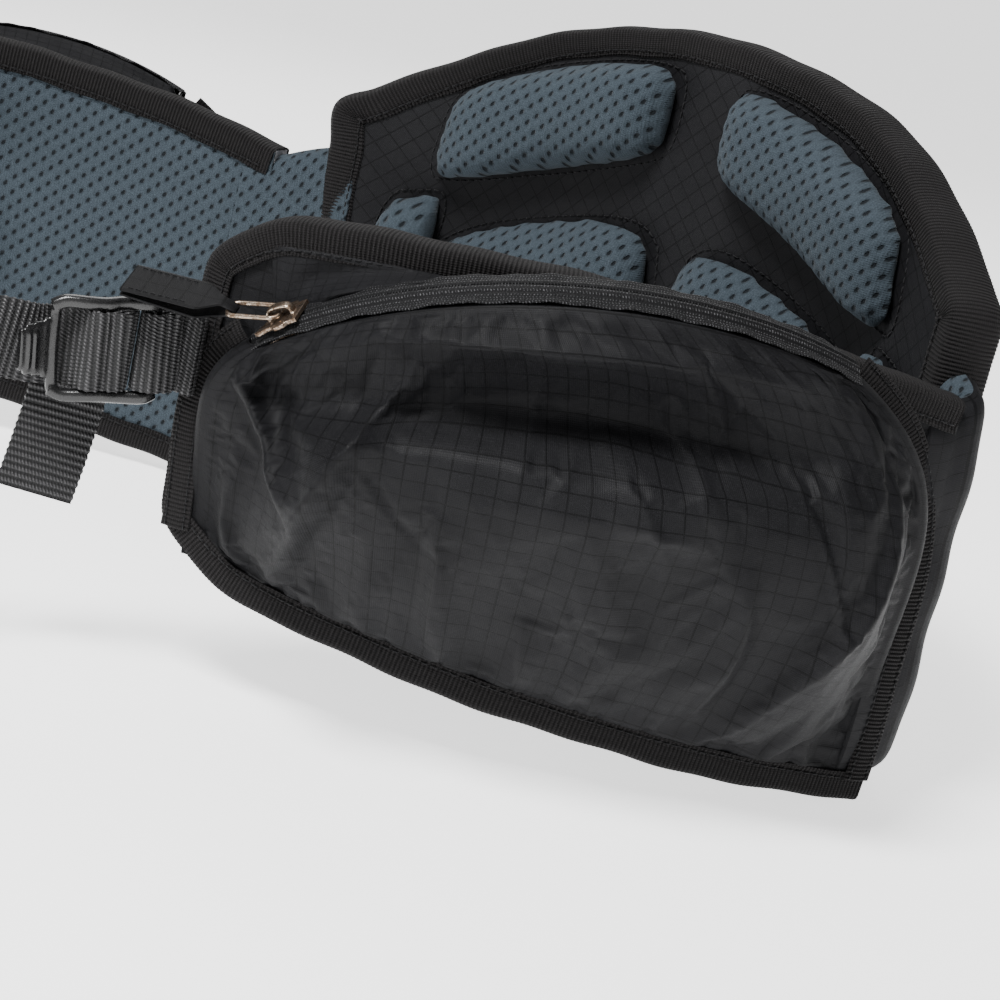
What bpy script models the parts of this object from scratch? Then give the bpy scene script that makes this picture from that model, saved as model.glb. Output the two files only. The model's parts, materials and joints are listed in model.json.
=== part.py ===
"""Padded waist pack: a lumbar pad, two hinged wings with zipped pockets, and a webbing belt with its buckles.

Units are metres and +Z is up. The wearer's front is -X, the wearer's left is -Y, and the pack stands on its
lower edges. Each wing is drawn once in its own frame (x along the chord, y outward, z up) and placed twice.
"""

import math

import bmesh
import bpy
from mathutils import Matrix, Vector

MM = 0.001
GAP = 0.3 * MM

# The whole pack is shifted so that its origin lies under the middle of its bounding box.
ORIGIN_SHIFT = Vector((124.7 * MM, -104.35 * MM, 1.1 * MM))

# Lumbar pad
LUMBAR_HALF_WIDTH = 150 * MM
LUMBAR_HEIGHT = 226 * MM
LUMBAR_SIDE_DROP = 62 * MM
LUMBAR_FLAT_HALF = 40 * MM
LUMBAR_SWEEP = 45 * MM
LAYER_INSET = 1.2 * MM
# name: (front, back) in mm to the rear of the foam's middle; the rear cover stands just proud of the edge tape
LUMBAR_LAYERS = {
    "lumbar_rear_cover": (7.2, 9.9),
    "lumbar_frame_sheet": (4.9, 6.9),
    "lumbar_foam": (-7.0, 4.6),
    "lumbar_front_panel": (-8.4, -7.3),
}
LUMBAR_TAPE = 8.7 * MM
TAPE_BUTT = 0.4 * MM
PAD_BACK = -8.8 * MM
PAD_THICKNESS = 20 * MM
PAD_EDGE = 0.25
# kind: (inner edge, outer edge, bottom line, top line); an edge is its distance from the spine and its lean
LUMBAR_PADS = {
    "lower_pad": ((8 * MM, 0), (122 * MM, 0.12), (16 * MM, 24 * MM), (152 * MM, 120 * MM, 4 * MM)),
    "upper_pad": ((16 * MM, 0), (129 * MM, 0.12), (180 * MM, 145 * MM, 2 * MM), (210 * MM, 180 * MM, 5 * MM)),
    "side_roll": ((124.5 * MM, 0.12), (141 * MM, 0.12), (28 * MM, 34 * MM), (138 * MM, 132 * MM)),
}
SIDES = ((-1, "left"), (1, "right"))

# Wings
WING_CHORD = 245 * MM
WING_SAGITTA = 32 * MM
WING_ROOT_TOP = 140 * MM
WING_LAYERS = {
    "wing_outer_shell": (5.5, 6.5),
    "wing_foam": (-5.2, 5.2),
    "wing_inner_mesh": (-7.5, -5.5),
}
HINGE_GAP = 9 * MM
HINGE_ROLL_RADIUS = 6.5 * MM
HINGE_ROLL_HEIGHT = 124 * MM
HINGE_ROLL_BASE = 14 * MM
LEFT_HEADING = 134
RIGHT_HEADING = 139

# Edge tape
TAPE_THICKNESS = 0.8 * MM
TAPE_WIDTH = 11 * MM
OUTER_TAPE = 8.1 * MM
INNER_TAPE = -7.8 * MM
SEAM_TAPE_WIDTH = 10 * MM
SEAM_TAPE_BASE = 9.2 * MM
# end of the pocket: (station, foot, head)
SEAM_TAPES = {"front": (0.955, 54 * MM, 122 * MM), "rear": (0.062, 12 * MM, 112 * MM)}

# Pocket
POCKET_REAR = 0.085
POCKET_FRONT = 0.93
POCKET_BULGE = 26 * MM
FABRIC = 0.9 * MM
FLANGE = 6.9 * MM
POCKET_ROWS = 12

# Zip, whose centre line is one arc through three points on the wing: (station, height, outward offset)
ZIP_POINTS = ((0.885, 121 * MM, 17 * MM), (0.60, 156 * MM, 26 * MM), (0.25, 151 * MM, 20 * MM))
ZIP_LEAN = 25
ZIP_TAPE_HALF = 8 * MM
ZIP_TAPE_EDGE = 1.0 * MM
SEAM_GAP = 1.1 * MM
ZIP_COIL_INNER = 0.7 * MM
ZIP_COIL_OUTER = 2.2 * MM
ZIP_OVERRUN = 4 * MM
SLIDER_LENGTH = 12 * MM
SLIDER_WIDTH = 10 * MM
PULL_LENGTH = 17 * MM
PULL_HALF_WIDTH = 3.6 * MM
PULL_WIRE = 0.75 * MM
PULL_HEIGHT = 4.5 * MM
PULL_LIFT = 24
TAB_LENGTH = 33 * MM
TAB_WIDTH = 14 * MM
TAB_NECK = 4.2 * MM
TAB_FABRIC = 1.0 * MM
TAB_LIFT = 14

# Webbing and buckles
WEBBING_WIDTH = 25 * MM
WEBBING = 1.5 * MM
BELT_HEIGHT = 105 * MM
LOCK_TURN = 16
LOCK_DIP = 6
LOCK_LENGTH = 34 * MM
LOCK_HEIGHT = 32 * MM
LOCK_DEPTH = 3.6 * MM
LOCK_BAR = 3.6 * MM
LOCK_REACH = 9 * MM
BUCKLE_WIDTH = 34 * MM
BUCKLE_DEPTH = 12 * MM
BUCKLE_BAR = 3.6 * MM
BUCKLE_SLOT = 12 * MM
FEMALE_LENGTH = 32 * MM

# name: (linear colour, roughness, metallic)
LOOKS = {
    "ripstop": ((0.018, 0.018, 0.020), 0.62, 0.0),
    "grosgrain": ((0.026, 0.025, 0.026), 0.78, 0.0),
    "air_mesh": ((0.095, 0.130, 0.160), 0.85, 0.0),
    "foam": ((0.30, 0.31, 0.32), 0.95, 0.0),
    "sheet_plastic": ((0.70, 0.71, 0.72), 0.5, 0.0),
    "zip_tape": ((0.015, 0.015, 0.017), 0.8, 0.0),
    "webbing": ((0.060, 0.059, 0.060), 0.7, 0.0),
    "buckle_plastic": ((0.030, 0.030, 0.031), 0.38, 0.0),
    "antique_metal": ((0.19, 0.155, 0.125), 0.42, 1.0),
}


def clear_scene():
    for obj in list(bpy.data.objects):
        bpy.data.objects.remove(obj, do_unlink=True)


def new_collection(name):
    collection = bpy.data.collections.new(name)
    bpy.context.scene.collection.children.link(collection)
    return collection


def look(name):
    material = bpy.data.materials.get(name)
    if material is None:
        colour, roughness, metallic = LOOKS[name]
        material = bpy.data.materials.new(name)
        material.use_nodes = True
        shader = material.node_tree.nodes["Principled BSDF"]
        shader.inputs["Base Color"].default_value = (*colour, 1.0)
        shader.inputs["Roughness"].default_value = roughness
        shader.inputs["Metallic"].default_value = metallic
    return material


class Body:
    """One rigid group: an empty on its joint's axis, which the group's pieces are parented to."""

    def __init__(self, name, pivot):
        self.pivot = Vector(pivot)
        self.empty = bpy.data.objects.new(name, None)
        self.empty.empty_display_size = 0.02
        self.empty.location = self.pivot + ORIGIN_SHIFT
        pack.objects.link(self.empty)

    def add(self, name, mesh, material):
        """Adds a mesh that is drawn in the pack's frame."""
        mesh.transform(Matrix.Translation(-self.pivot))
        mesh.materials.append(look(material))
        mesh.shade_smooth()
        mesh.set_sharp_from_angle(angle=math.radians(35))
        obj = bpy.data.objects.new(name, mesh)
        obj.parent = self.empty
        pack.objects.link(obj)
        return obj


def to_mesh(bm, name):
    """A mesh whose faces point outward, also where a mirrored frame has turned them."""
    bmesh.ops.recalc_face_normals(bm, faces=bm.faces[:])
    if bm.calc_volume(signed=True) < 0:
        bmesh.ops.reverse_faces(bm, faces=bm.faces[:])
    mesh = bpy.data.meshes.new(name)
    bm.to_mesh(mesh)
    bm.free()
    return mesh


def slab(name, face, columns, rows, frame):
    """A closed slab from a grid. face(u, v, side) is its back for side 0 and its front for side 1."""
    bm = bmesh.new()
    bmesh.ops.create_grid(bm, x_segments=columns, y_segments=rows, size=0.5)
    bmesh.ops.solidify(bm, geom=bm.faces[:], thickness=1.0)
    for vert in bm.verts:
        side = 1 if abs(vert.co.z) > 0.5 else 0
        vert.co = frame @ Vector(face(vert.co.x + 0.5, vert.co.y + 0.5, side))
    return to_mesh(bm, name)


def skin(surface, thickness):
    """The two faces of a fabric of this thickness, whose front is surface(u, v)."""
    step = 1e-4

    def face(u, v, side):
        here = Vector(surface(u, v))
        if side == 1:
            return here
        u_low, u_high = max(u - step, 0), min(u + step, 1)
        v_low, v_high = max(v - step, 0), min(v + step, 1)
        along = Vector(surface(u_high, v)) - Vector(surface(u_low, v))
        across = Vector(surface(u, v_high)) - Vector(surface(u, v_low))
        return here - across.cross(along).normalized() * thickness

    return face


def smooth_path(points, t):
    """A Catmull-Rom curve through the points, for t from 0 to 1."""
    spans = len(points) - 1
    index = min(int(t * spans), spans - 1)
    local = t * spans - index
    near, far = Vector(points[index]), Vector(points[index + 1])
    before = Vector(points[index - 1]) if index > 0 else 2 * near - far
    after = Vector(points[index + 2]) if index + 2 <= spans else 2 * far - near
    square, cube = local * local, local**3
    return 0.5 * (
        2 * near
        + (far - before) * local
        + (2 * before - 5 * near + 4 * far - after) * square
        + (3 * near - before - 3 * far + after) * cube
    )


def strap(name, points, width, frame, columns, rows=2, thickness=WEBBING, up=(0, 0, 1), end_up=None):
    """Webbing along a curve. Its width runs along up, turning to end_up over the last part of the curve."""
    step = 1e-3
    first, last = Vector(up), Vector(end_up or up)

    def face(u, v, side):
        centre = smooth_path(points, u)
        along = smooth_path(points, min(u + step, 1)) - smooth_path(points, max(u - step, 0))
        turn = max(0.0, min(1.0, (u - 0.78) / 0.16))
        across = first.lerp(last, turn * turn * (3 - 2 * turn))
        across = (across - across.project(along)).normalized()
        normal = along.cross(across).normalized()
        return centre + across * width * (v - 0.5) + normal * thickness * (side - 0.5)

    return slab(name, face, columns, rows, frame)


def box_mesh(size, centre, bevel=0.0):
    bm = bmesh.new()
    bmesh.ops.create_cube(bm, size=1.0)
    bmesh.ops.scale(bm, vec=size, verts=bm.verts[:])
    if bevel:
        bmesh.ops.bevel(bm, geom=bm.edges[:], offset=bevel, segments=1, affect="EDGES")
    bmesh.ops.translate(bm, vec=centre, verts=bm.verts[:])
    return to_mesh(bm, "box")


def helper(mesh, name):
    obj = bpy.data.objects.new(name, mesh)
    obj.hide_render = True
    obj.display_type = "WIRE"
    cutters.objects.link(obj)
    return obj


def combined(base, others, name):
    """The base mesh after a list of (operation, mesh) Booleans."""
    work = helper(base, name + "_work")
    for count, (operation, mesh) in enumerate(others):
        modifier = work.modifiers.new("step", "BOOLEAN")
        modifier.operation = operation
        modifier.solver = "EXACT"
        modifier.object = helper(mesh, f"{name}_{count}")
    bpy.context.view_layer.update()
    graph = bpy.context.evaluated_depsgraph_get()
    result = bpy.data.meshes.new_from_object(work.evaluated_get(graph))
    bpy.data.objects.remove(work, do_unlink=True)
    return result


# ---------------------------------------------------------------- lumbar pad


def lumbar_x(y):
    """The pad is flat in the middle, and its sides sweep forward round the wearer."""
    beyond = max(0.0, abs(y) - LUMBAR_FLAT_HALF) / (LUMBAR_HALF_WIDTH - LUMBAR_FLAT_HALF)
    return LUMBAR_SWEEP * (1 - beyond * beyond)


def lumbar_point(y, z, offset):
    step = 0.5 * MM
    slope = (lumbar_x(y + step) - lumbar_x(y - step)) / (2 * step)
    length = math.hypot(1, slope)
    return Vector((lumbar_x(y) + offset / length, y - offset * slope / length, z))


def lumbar_top(y):
    return LUMBAR_HEIGHT - LUMBAR_SIDE_DROP * abs(y / LUMBAR_HALF_WIDTH) ** 2.2


def lumbar_bottom(y):
    return 14 * MM * abs(y / LUMBAR_HALF_WIDTH) ** 3


def lean(line, y):
    """How many times its width a band along this sloping line measures when it is cut upright."""
    step = 0.5 * MM
    return math.hypot(1, (line(y + step) - line(y - step)) / (2 * step))


def lumbar_layer(name, offsets, inset, frame):
    half = LUMBAR_HALF_WIDTH - inset

    def face(u, v, side):
        y = half * (2 * u - 1)
        low = lumbar_bottom(y) + inset * lean(lumbar_bottom, y)
        high = lumbar_top(y) - inset * lean(lumbar_top, y)
        return lumbar_point(y, low + (high - low) * v, offsets[side] * MM)

    return slab(name, face, 20, 6, frame)


def lumbar_outline():
    """Points round the pad's edge, from the middle of the bottom round one side, over the top and back."""
    across = [-index / 10 for index in range(11)]
    up = [index / 10 for index in range(1, 10)]
    stops = [(part, 0.0) for part in across] + [(-1.0, part) for part in up]
    stops += [(part, 1.0) for part in reversed(across)]
    mirrored = [(-part, height) for part, height in reversed(stops[:-1])]
    outline = []
    for part, height in stops + mirrored:
        y = part * LUMBAR_HALF_WIDTH
        low, high = lumbar_bottom(y), lumbar_top(y)
        outline.append(Vector((y, low + (high - low) * height, 0)))
    outline[0].x -= TAPE_BUTT
    outline[-1].x += TAPE_BUTT
    return outline


def lumbar_edge_point(place, offset):
    return lumbar_point(place.x, place.y, offset)


def edge_tape(name, outline, place, front, back, inward_sign, frame):
    """A tape folded in a U over an edge. outline holds flat points, and place(point, offset) bends them."""
    count = len(outline) - 1
    middle = (front + back) / 2
    half = (front - back) / 2
    # (distance in from the edge, share of the half depth), across the fold
    folds = ((TAPE_WIDTH, 1), (TAPE_WIDTH / 2, 1), (GAP, 1), (-GAP, 0), (GAP, -1), (TAPE_WIDTH / 2, -1), (TAPE_WIDTH, -1))
    last = len(folds) - 1

    def face(u, v, side):
        index = round(u * count)
        row = round(v * last)
        before, after = outline[max(index - 1, 0)], outline[min(index + 1, count)]
        along = (after - before).normalized()
        inward = Vector((-along.y, along.x, 0)) * inward_sign
        reach, share = folds[row]
        if side == 1 and abs(row - last / 2) < 1.5:
            reach -= TAPE_THICKNESS
        offset = middle + share * (half + side * TAPE_THICKNESS)
        return place(outline[index] + inward * reach, offset)

    return slab(name, face, count, last, frame)


def span_line(start, end, bow=0.0):
    """A height that goes from start to end with a bow in the middle."""
    return lambda u: start + (end - start) * u + bow * 4 * u * (1 - u)


def pad(name, side, inner, outer, low, high, frame):
    """A crowned foam pad under air mesh, on the front of the lumbar panel."""

    def face(u, v, front):
        z = low(u) + (high(u) - low(u)) * v
        near, far = inner[0] - inner[1] * z, outer[0] - outer[1] * z
        y = near + (far - near) * u
        crown = (1 - abs(2 * u - 1) ** 4) * (1 - abs(2 * v - 1) ** 4)
        depth = PAD_THICKNESS * (PAD_EDGE + (1 - PAD_EDGE) * crown**0.6)
        return lumbar_point(side * y, z, PAD_BACK - front * depth)

    return slab(name, face, 8, 6, frame)


def hinge_roll(side):
    """The fold of cover fabric on the hinge line between the pad and a wing."""
    root = wing_root(side)
    bm = bmesh.new()
    bmesh.ops.create_cone(
        bm,
        cap_ends=True,
        segments=12,
        radius1=HINGE_ROLL_RADIUS,
        radius2=HINGE_ROLL_RADIUS,
        depth=HINGE_ROLL_HEIGHT,
    )
    bmesh.ops.translate(bm, vec=(root.x, root.y, HINGE_ROLL_BASE + HINGE_ROLL_HEIGHT / 2), verts=bm.verts[:])
    return to_mesh(bm, "hinge_roll")


def build_lumbar():
    body = Body("lumbar", (0, 0, 0))
    still = Matrix.Identity(4)
    for name, offsets in LUMBAR_LAYERS.items():
        material = {"lumbar_foam": "foam", "lumbar_frame_sheet": "sheet_plastic"}.get(name, "ripstop")
        inset = TAPE_WIDTH + 2 * GAP if name == "lumbar_rear_cover" else LAYER_INSET
        body.add(name, lumbar_layer(name, offsets, inset, still), material)
    tape = edge_tape(
        "lumbar_edge_binding", lumbar_outline(), lumbar_edge_point, LUMBAR_TAPE, -LUMBAR_TAPE, -1, still
    )
    body.add("lumbar_edge_binding", tape, "grosgrain")
    for side, word in SIDES:
        for kind, (inner, outer, low, high) in LUMBAR_PADS.items():
            name = f"lumbar_{kind}_{word}"
            mesh = pad(name, side, inner, outer, span_line(*low), span_line(*high), still)
            body.add(name, mesh, "air_mesh")
        body.add(f"{word}_hinge_roll", hinge_roll(side), "ripstop")


# ---------------------------------------------------------------- wings

WING_RADIUS = ((WING_CHORD / 2) ** 2 + WING_SAGITTA**2) / (2 * WING_SAGITTA)
WING_ANGLE = math.asin(WING_CHORD / 2 / WING_RADIUS)
WING_ARC = 2 * WING_ANGLE * WING_RADIUS
WING_START = HINGE_GAP / WING_ARC


def wing_root(side):
    """The foot of the vertical hinge line between the lumbar pad and a wing."""
    end = lumbar_point(side * LUMBAR_HALF_WIDTH, 0, 0)
    inside = lumbar_point(side * (LUMBAR_HALF_WIDTH - MM), 0, 0)
    return end + (end - inside).normalized() * (HINGE_GAP + 2 * TAPE_THICKNESS)


def wing_frame(side, heading):
    """Wing frame to pack frame. The right wing's frame is mirrored."""
    turn = math.radians(heading)
    chord = Vector((math.cos(turn), math.sin(turn), 0))
    outward = Vector((-chord.y, chord.x, 0)) * -side
    rotation = Matrix((chord, outward, (0, 0, 1))).transposed().to_4x4()
    return Matrix.Translation(wing_root(side)) @ rotation


def wing_point(station, z, offset):
    """A point at a station from 0 at the hinge to 1 at the tip, offset outward from the foam's middle."""
    angle = (2 * station - 1) * WING_ANGLE
    radius = WING_RADIUS + offset
    x = WING_CHORD / 2 + radius * math.sin(angle)
    return Vector((x, radius * math.cos(angle) - WING_RADIUS * math.cos(WING_ANGLE), z))


def wing_place(point):
    """The station, height and offset of a point in the wing's frame."""
    x = point.x - WING_CHORD / 2
    y = point.y + WING_RADIUS * math.cos(WING_ANGLE)
    return (math.atan2(x, y) / WING_ANGLE + 1) / 2, point.z, math.hypot(x, y) - WING_RADIUS


def wing_top(station):
    crown = 19 * MM * math.sin(math.pi * 0.8 * station)
    return WING_ROOT_TOP + crown - 14 * MM * max(0.0, (station - 0.85) / 0.15) ** 3


def wing_bottom(station):
    return 36 * MM * station**1.25 + 15 * MM * max(0.0, (station - 0.8) / 0.2) ** 3


def wing_layer(name, offsets, inset, frame):
    end = 1 - inset / WING_ARC

    def face(u, v, side):
        station = WING_START + (end - WING_START) * u
        low, high = wing_bottom(station) + inset * 1.3, wing_top(station) - inset * 1.3
        return wing_point(station, low + (high - low) * v, offsets[side] * MM)

    return slab(name, face, 14, 5, frame)


def wing_outline():
    """Points round the wing's edge as (arc length, height): along the bottom, up the tip and back on top."""
    stations = [WING_START + (1 - WING_START) * index / 14 for index in range(15)]
    lower = [Vector((station * WING_ARC, wing_bottom(station), 0)) for station in stations]
    upper = [Vector((station * WING_ARC, wing_top(station), 0)) for station in reversed(stations)]
    tip = [lower[-1].lerp(upper[0], part / 4) for part in range(1, 4)]
    return lower + tip + upper


def wing_edge_point(place, offset):
    return wing_point(place.x / WING_ARC, place.y, offset)


# ---------------------------------------------------------------- zip


def circle_centre(first, second, third):
    a, b = second - first, third - first
    normal = a.cross(b)
    return first + (a.length_squared * b.cross(normal) + b.length_squared * normal.cross(a)) / (
        2 * normal.length_squared
    )


class Zip:
    """The closed zip: everything on it is a surface of revolution about the axis of its arc."""

    def __init__(self):
        first, middle, last = (wing_point(*place) for place in ZIP_POINTS)
        self.centre = circle_centre(first, middle, last)
        self.radius = (first - self.centre).length
        self.out = (first - self.centre).normalized()
        to_last = last - self.centre
        self.rearward = (to_last - to_last.project(self.out)).normalized()
        self.sweep = math.atan2(to_last.dot(self.rearward), to_last.dot(self.out))
        self.axis = self.out.cross(self.rearward)

    def point(self, angle, across, lift):
        """across runs towards the wing's top edge, and lift runs outward from the tape."""
        lean = math.radians(ZIP_LEAN)
        radial = self.out * math.cos(angle) + self.rearward * math.sin(angle)
        over = self.axis * math.cos(lean) - radial * math.sin(lean)
        normal = radial * math.cos(lean) + self.axis * math.sin(lean)
        return self.centre + radial * self.radius + over * across + normal * lift

    def frame_at(self, angle):
        """x forward along the zip, y across towards the bottom edge, z outward from the tape."""
        origin = self.point(angle, 0, 0)
        down = (self.point(angle, -1, 0) - origin).normalized()
        normal = (self.point(angle, 0, 1) - origin).normalized()
        forward = down.cross(normal)
        rotation = Matrix((forward, down, normal)).transposed().to_4x4()
        return Matrix.Translation(origin) @ rotation

    def strip(self, name, across, lift, frame):
        """A strip along the zip that spans these distances across and outward."""
        start, end = -ZIP_OVERRUN / self.radius, self.sweep + ZIP_OVERRUN / self.radius

        def face(u, v, side):
            angle = start + (end - start) * u
            return self.point(angle, across[0] + (across[1] - across[0]) * v, lift[side])

        return slab(name, face, 26, 1, frame)


def slider_mesh():
    """Two plates joined by the divider that runs between the rows of coil, and the bridge on top."""
    long, wide = SLIDER_LENGTH, SLIDER_WIDTH
    base = box_mesh((long, wide, 1.3 * MM), (0, 0, 2.75 * MM), 0.3 * MM)
    joins = [
        box_mesh((long, wide, 1.2 * MM), (0, 0, -2.0 * MM), 0.3 * MM),
        box_mesh((3 * MM, 0.8 * MM, 4.6 * MM), (3.6 * MM, 0, 0.3 * MM)),
        box_mesh((1.6 * MM, 2.6 * MM, 3.2 * MM), (3.2 * MM, 0, 4.6 * MM)),
        box_mesh((1.6 * MM, 2.6 * MM, 3.2 * MM), (-3.2 * MM, 0, 4.6 * MM)),
        box_mesh((8 * MM, 2.6 * MM, 1.2 * MM), (0, 0, 6.2 * MM)),
    ]
    return combined(base, [("UNION", mesh) for mesh in joins], "slider")


def pull_mesh(frame):
    """A wire ring, long along x, with its near end on the y axis at the origin."""
    curve = bpy.data.curves.new("pull", "CURVE")
    curve.dimensions = "3D"
    curve.bevel_depth = PULL_WIRE
    curve.bevel_resolution = 2
    spline = curve.splines.new("POLY")
    corner = PULL_HALF_WIDTH
    turns = 16
    spline.points.add(turns - 1)
    spline.use_cyclic_u = True
    for index, point in enumerate(spline.points):
        angle = 2 * math.pi * (index + 0.5) / turns
        x = corner * math.copysign(abs(math.cos(angle)) ** 0.6, math.cos(angle))
        x += PULL_LENGTH - corner if math.cos(angle) > 0 else corner
        y = corner * math.copysign(abs(math.sin(angle)) ** 0.7, math.sin(angle))
        point.co = (x, y, 0, 1)
    ring = bpy.data.objects.new("ring", curve)
    cutters.objects.link(ring)
    bpy.context.view_layer.update()
    mesh = bpy.data.meshes.new_from_object(ring.evaluated_get(bpy.context.evaluated_depsgraph_get()))
    bpy.data.objects.remove(ring, do_unlink=True)
    mesh.transform(frame)
    bm = bmesh.new()
    bm.from_mesh(mesh)
    return to_mesh(bm, "pull")


def tab_mesh(name, frame):
    """A folded fabric tab whose fold is gathered round the ring's far end, at the origin."""
    path = [
        (TAB_LENGTH, 0, 0.8 * MM),
        (TAB_LENGTH / 2, 0, 1.2 * MM),
        (2 * MM, 0, 2.1 * MM),
        (-2.2 * MM, 0, 0),
        (2 * MM, 0, -2.1 * MM),
        (TAB_LENGTH / 2, 0, -1.2 * MM),
        (TAB_LENGTH, 0, -0.8 * MM),
    ]
    step = 1e-3

    def face(u, v, side):
        centre = smooth_path(path, u)
        along = smooth_path(path, min(u + step, 1)) - smooth_path(path, max(u - step, 0))
        normal = along.cross(Vector((0, 1, 0))).normalized()
        spread = min(1.0, max(0.0, (centre.x - 1 * MM) / (9 * MM)))
        width = TAB_NECK + (TAB_WIDTH - TAB_NECK) * spread
        return centre + Vector((0, width * (v - 0.5), 0)) + normal * TAB_FABRIC * (side - 0.5)

    return slab(name, face, 24, 2, frame)


def build_zip(word, wing, zipper, frame):
    """The tapes and coils belong to the wing. The slider, pull and tab each turn on their own axis."""
    outer, inner = ZIP_TAPE_HALF, ZIP_COIL_OUTER + GAP
    rows = {"upper": 1, "lower": -1}
    for row, sign in rows.items():
        tape = f"{word}_zip_tape_{row}"
        across = sorted((sign * inner, sign * outer))
        wing.add(tape, zipper.strip(tape, across, (-ZIP_TAPE_EDGE / 2, ZIP_TAPE_EDGE / 2), frame), "zip_tape")
        coil = f"{word}_zip_coil_{row}"
        across = sorted((sign * ZIP_COIL_INNER, sign * ZIP_COIL_OUTER))
        wing.add(coil, zipper.strip(coil, across, (-0.9 * MM, 1.7 * MM), frame), "zip_tape")

    place = frame @ zipper.frame_at((SLIDER_LENGTH / 2 + 2 * MM) / zipper.radius)
    slider = Body(f"{word}_zip_slider_body", frame @ zipper.centre)
    mesh = slider_mesh()
    mesh.transform(place)
    slider.add(f"{word}_zip_slider", oriented(mesh), "antique_metal")

    ring = place @ Matrix.Translation((0, 0, PULL_HEIGHT)) @ Matrix.Rotation(-math.radians(PULL_LIFT), 4, "Y")
    near_end = ring.translation.copy()
    pull = Body(f"{word}_zip_pull_body", near_end)
    pull.add(f"{word}_zip_pull", pull_mesh(ring), "antique_metal")

    far = ring @ Matrix.Translation((PULL_LENGTH, 0, 0)) @ Matrix.Rotation(-math.radians(TAB_LIFT), 4, "Y")
    tab = Body(f"{word}_zip_tab_body", far.translation.copy())
    tab.add(f"{word}_zip_pull_tab", tab_mesh("tab", far), "ripstop")


def oriented(mesh):
    """The mesh with its faces turned outward, which a mirrored frame turns inward."""
    bm = bmesh.new()
    bm.from_mesh(mesh)
    return to_mesh(bm, mesh.name)


# ---------------------------------------------------------------- pocket


def ease(value):
    value = min(1.0, max(0.0, value))
    return value * value * (3 - 2 * value)


def pocket_surface(zipper):
    """The outer fabric, from the bottom tape (v 0) to the zip's lower tape (v 1), rear (u 0) to front (u 1)."""

    def surface(u, v):
        angle = zipper.sweep * (1 - u)
        seam = wing_place(zipper.point(angle, -ZIP_TAPE_HALF - SEAM_GAP, 0))
        foot = POCKET_REAR + (POCKET_FRONT - POCKET_REAR) * u
        base = wing_bottom(foot) + 2 * MM
        slope = (wing_bottom(foot + 0.01) - wing_bottom(foot - 0.01)) / (0.02 * WING_ARC)
        flat = TAPE_WIDTH * math.hypot(1, slope)
        if v < 1 / POCKET_ROWS:
            return wing_point(foot, base + flat * v * POCKET_ROWS, FLANGE + FABRIC)
        rise = (v - 1 / POCKET_ROWS) / (1 - 1 / POCKET_ROWS)
        station = foot + (seam[0] - foot) * rise**5
        z = base + flat + (seam[1] - base - flat) * rise
        ends = ease((u - 0.01) / 0.16) * ease((0.99 - u) / 0.30)
        bulge = POCKET_BULGE * ends * math.sin(math.pi * rise**0.8) ** 0.8
        offset = FLANGE + FABRIC + (seam[2] - FLANGE - FABRIC) * ease(rise) + bulge
        return wing_point(station, z, offset)

    return surface


def gusset_surface(zipper):
    """The top panel, from the zip's upper tape (v 0) back to the wing's top tape (v 1)."""

    def surface(u, v):
        angle = zipper.sweep * (1 - u)
        seam = wing_place(zipper.point(angle, ZIP_TAPE_HALF + SEAM_GAP, 0))
        rest = OUTER_TAPE + TAPE_THICKNESS + GAP + FABRIC
        target = (seam[0], wing_top(seam[0]) - TAPE_WIDTH / 2, rest)
        station, z, offset = (start + (end - start) * v for start, end in zip(seam, target))
        return wing_point(station, z, offset)

    return surface


def seam_tape(name, station, low, high, frame):
    """A flat tape over a pocket's front or rear seam, between two heights at its foot and its head."""

    def face(u, v, side):
        along = station + (SEAM_TAPE_WIDTH / WING_ARC) * (u - 0.5)
        return wing_point(along, low + (high - low) * v, SEAM_TAPE_BASE + side * TAPE_THICKNESS)

    return slab(name, face, 1, 8, frame)


def build_pocket(word, wing, zipper, frame):
    panel = slab("panel", skin(pocket_surface(zipper), FABRIC), 18, POCKET_ROWS, frame)
    wing.add(f"{word}_pocket_panel", panel, "ripstop")
    gusset = slab("gusset", skin(gusset_surface(zipper), FABRIC), 18, 2, frame)
    wing.add(f"{word}_pocket_gusset", gusset, "ripstop")
    for end, (station, low, high) in SEAM_TAPES.items():
        name = f"{word}_pocket_{end}_binding"
        wing.add(name, seam_tape(name, station, low, high, frame), "grosgrain")


# ---------------------------------------------------------------- belt hardware


def lock_frame():
    """The ladder lock's frame in the wing's: x along the belt, y outward, z up, on its wing-side bar."""
    tip = wing_point(1.0, BELT_HEIGHT, 11 * MM)
    turn = Matrix.Rotation(math.radians(LOCK_TURN), 4, "Z") @ Matrix.Rotation(math.radians(LOCK_DIP), 4, "Y")
    return Matrix.Translation(tip) @ turn @ Matrix.Translation((LOCK_REACH, 0, 0))


def window(start, end, height):
    size = (end - start, 40 * MM, height)
    return box_mesh(size, ((start + end) / 2, 0, 0), 0.6 * MM)


def ladder_lock_mesh(frame):
    left = LOCK_LENGTH - LOCK_BAR
    base = box_mesh((LOCK_LENGTH, LOCK_DEPTH, LOCK_HEIGHT), (LOCK_LENGTH / 2 - LOCK_BAR / 2, 0, 0), 1.2 * MM)
    lever = box_mesh((11 * MM, 2.8 * MM, 25 * MM), (0, 0, 0), 0.9 * MM)
    lever.transform(Matrix.Translation((left + 5 * MM, 1.6 * MM, 0)) @ Matrix.Rotation(math.radians(22), 4, "Z"))
    first = (LOCK_BAR / 2, left / 2 - LOCK_BAR / 2)
    second = (left / 2 + LOCK_BAR / 2, left - LOCK_BAR / 2)
    cuts = [("DIFFERENCE", window(*span, WEBBING_WIDTH + MM)) for span in (first, second)]
    mesh = combined(base, [("UNION", lever)] + cuts, "lock")
    mesh.transform(frame)
    return oriented(mesh)


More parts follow.
